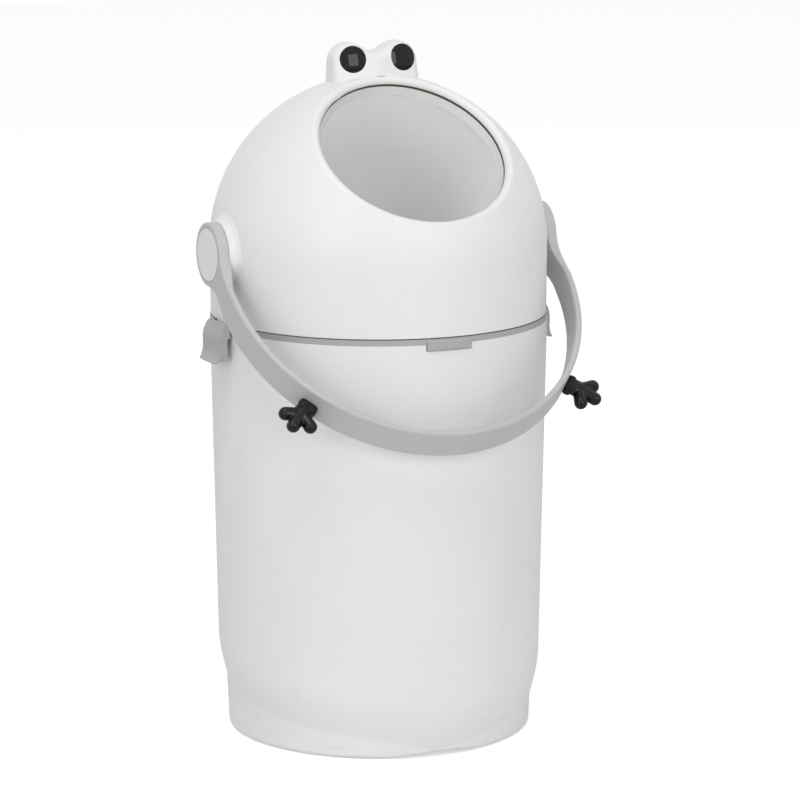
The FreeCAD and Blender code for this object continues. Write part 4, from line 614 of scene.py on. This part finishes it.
FINGER_ROOT = 0.001         # a finger starts this far from the knuckles' middle
HAND_VOXEL = 0.00045
HAND_SMOOTHING = 20         # rounds of smoothing that blend the creases
MATT_CENTRE = 0.001         # the rubber is matt round this distance from the strap,
MATT_EDGE = (0.008, 0.012)  # out to between these distances from there
MATT_ROUGHENING = 0.35


def finger(start, end, radii, flat=1.0, rows=14, columns=28):
    """Closed tapered finger in the hand's frame: circles along a line, with half balls as ends.

    With t from -90 to 90 degrees the ball at either end gives the radius r cos t and the
    distance r sin t past its centre. Heights are pressed by the share flat.
    """
    start, end = np.asarray(start, float), np.asarray(end, float)
    length = np.linalg.norm(end - start)
    along = (end - start) / length
    beside = np.array([-along[1], along[0], 0.0])
    turn = np.linspace(0, math.pi / 2, rows)
    first = np.stack([-radii[0] * np.cos(turn), radii[0] * np.sin(turn)], -1)
    last = np.stack([length + radii[1] * np.sin(turn), radii[1] * np.cos(turn)], -1)
    place, radius = np.concatenate([first, last]).T
    around = np.linspace(0, 2 * math.pi, columns, endpoint=False)
    points = (start + place[:, None, None] * along
              + (radius[:, None] * np.cos(around))[..., None] * beside)
    points[..., 2] += radius[:, None] * np.sin(around) * flat
    return points


def wrist_block(rows=12, columns=48):
    """Closed block with rounded corners: a ball whose sines and cosines are bent by a power.

    With b(v) = sign(v) |v| ** power, a point is (b(sin t), b(cos t) b(cos p), b(cos t) b(sin p)),
    each times its half size, and moved out along the first axis.
    """
    t = np.linspace(-math.pi / 2, math.pi / 2, 2 * rows + 1)[:, None]
    p = np.linspace(0, 2 * math.pi, columns, endpoint=False)[None, :]

    def bent(value):
        return np.sign(value) * np.abs(value) ** WRIST_POWER

    deep, wide, high = WRIST
    return np.stack([deep * 0.5 * (bent(np.sin(t)) + 1) - WRIST_SINK + 0 * p,
                     wide * bent(np.cos(t)) * bent(np.cos(p)),
                     high * bent(np.cos(t)) * bent(np.sin(p))], -1)


def on_the_strap(points, side):
    """Moves points from the hand's frame to the strap's front, on the right (1) or left (-1)."""
    depth = STRAP_REACH - STRAP_ARM
    outward = np.array([depth * math.cos(HAND_STATION), STRAP_HALF * math.sin(HAND_STATION), 0])
    outward /= np.linalg.norm(outward)
    forward = np.array([-outward[1], outward[0], 0])
    base = np.array([STRAP_HALF * math.cos(HAND_STATION),
                     STRAP_ARM + depth * math.sin(HAND_STATION), HAND_DROP])
    base = base + outward * STRAP_THICKNESS / 2 + forward * HAND_SHIFT
    local = base + points[..., :1] * outward + points[..., 1:2] * forward
    local[..., 2] += points[..., 2]
    placed = in_bin_frame(local)
    placed[..., 0] *= side
    return placed


def hand_grids(side):
    """Wrist, palm and three fingers of one hand."""
    knuckle = np.array([PALM_REACH, 0.0, 0.0])
    grids = [wrist_block(), finger((PALM_ROOT, 0, 0), knuckle, PALM_RADII, PALM_FLATNESS)]
    for degrees, length in FINGERS:
        way = np.array([math.cos(math.radians(degrees)), math.sin(math.radians(degrees)), 0.0])
        grids.append(finger(knuckle + way * FINGER_ROOT, knuckle + way * length, FINGER_RADII))
    return [on_the_strap(grid, side) for grid in grids]


def hand_finish(side, name):
    """Black rubber, polished on the fingers and matt on the wrist."""
    middle = on_the_strap(np.array([[MATT_CENTRE, 0.0, 0.0]]), side)[0]
    rubber = moulded("rubber_" + name, (0.006, 0.006, 0.007), roughness=0.24, grain=3e-6,
                     shift=0.3, specular=0.28)
    matt = 1.0 - rubber.between(rubber.away_from(tuple(middle)), *MATT_EDGE)
    rubber.feed("Roughness", rubber.gloss + matt * MATT_ROUGHENING)
    return rubber


for side, name in ((1, "right"), (-1, "left")):
    hand = made_piece("rubber_hand_" + name, hand_grids(side))
    welded = hand.modifiers.new("one_moulding", "REMESH")
    welded.mode = "VOXEL"
    welded.voxel_size = HAND_VOXEL
    welded.use_smooth_shade = True
    softened = hand.modifiers.new("soft_creases", "SMOOTH")
    softened.factor = 0.5
    softened.iterations = HAND_SMOOTHING
    hand.data.materials.append(hand_finish(side, name).owner)
    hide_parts("hand_" + name)
    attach(hand, "drum")

# ---- studio -------------------------------------------------------------------------------------
# A plain pale floor in a white surround. Large softboxes stand high in front and to the side, and
# a nearly square window to the right of the camera puts the highlight in the eyes.
FLOOR_HALF = 6.0
FLOOR_GLOW = 0.48           # glow that only the camera sees, so that the floor turns white
SURROUND = 0.55             # strength at which the white surround lights the object
FRAME_PIXELS = 800          # width of the picture
FOCAL_PIXELS = 4025.5       # focal length, in pixels of that picture
CAMERA_PLACE = (-1.3422, -3.0147, 0.9298)
CAMERA_DROP = math.radians(11.221)   # it looks this far below the horizontal
CAMERA_TURN = math.radians(-24.311)  # and this far round from straight ahead


def softbox(name, place, target, size, power):
    """Rectangular lamp at a place, facing a target."""
    lamp = bpy.data.lights.new(name, "AREA")
    lamp.shape = "RECTANGLE"
    lamp.size, lamp.size_y = size
    lamp.energy = power
    stand = put_in_scene(name, lamp)
    stand.location = place
    stand.rotation_mode = "QUATERNION"
    stand.rotation_quaternion = (Vector(target) - Vector(place)).to_track_quat("-Z", "Y")


floor_mesh = bpy.data.meshes.new("floor")
floor_mesh.from_pydata([(-FLOOR_HALF, -FLOOR_HALF, 0), (FLOOR_HALF, -FLOOR_HALF, 0),
                        (FLOOR_HALF, FLOOR_HALF, 0), (-FLOOR_HALF, FLOOR_HALF, 0)],
                       [], [(0, 1, 2, 3)])
floor = put_in_scene("floor", floor_mesh)
floor_paint = Finish("floor_paint", Roughness=0.9, Specular_IOR_Level=0.0,
                     Base_Color=(0.86, 0.86, 0.86, 1.0), Emission_Strength=1.0)
seen = floor_paint.node("LightPath", output="Is Camera Ray")
floor_paint.feed("Emission Color", floor_paint.tint(seen, (0, 0, 0), (FLOOR_GLOW,) * 3))
floor.data.materials.append(floor_paint.owner)

surround = Wiring(bpy.data.worlds.new("studio_surround"), "Background")
bpy.context.scene.world = surround.owner
surround.shader.inputs["Color"].default_value = (1.0, 1.0, 1.0, 1.0)
shown = surround.node("LightPath", output="Is Camera Ray")
for ray in ("Is Glossy Ray", "Is Transmission Ray"):
    shown = shown.math("MAXIMUM", shown, surround.node("LightPath", output=ray))
surround.feed("Strength", shown * (1.0 - SURROUND) + SURROUND)

softbox("left_softbox", (-2.8, -1.7, 1.3), (0.0, 0.0, 0.30), (1.4, 1.4), 14.0)
softbox("high_softbox", (-0.8, -1.0, 3.1), (0.0, 0.0, 0.45), (1.4, 1.4), 27.0)
softbox("eye_window", (0.40, -3.05, 1.40), (0.0, 0.0, 0.56), (1.3, 1.5), 20.0)

camera = bpy.data.cameras.new("camera")
camera.lens = FOCAL_PIXELS / FRAME_PIXELS * camera.sensor_width
camera.clip_end = 50.0
tripod = put_in_scene("camera", camera)
tripod.location = CAMERA_PLACE
tripod.rotation_euler = (math.pi / 2 - CAMERA_DROP, 0.0, CAMERA_TURN)
bpy.context.scene.camera = tripod
bpy.context.scene.view_settings.view_transform = "Standard"
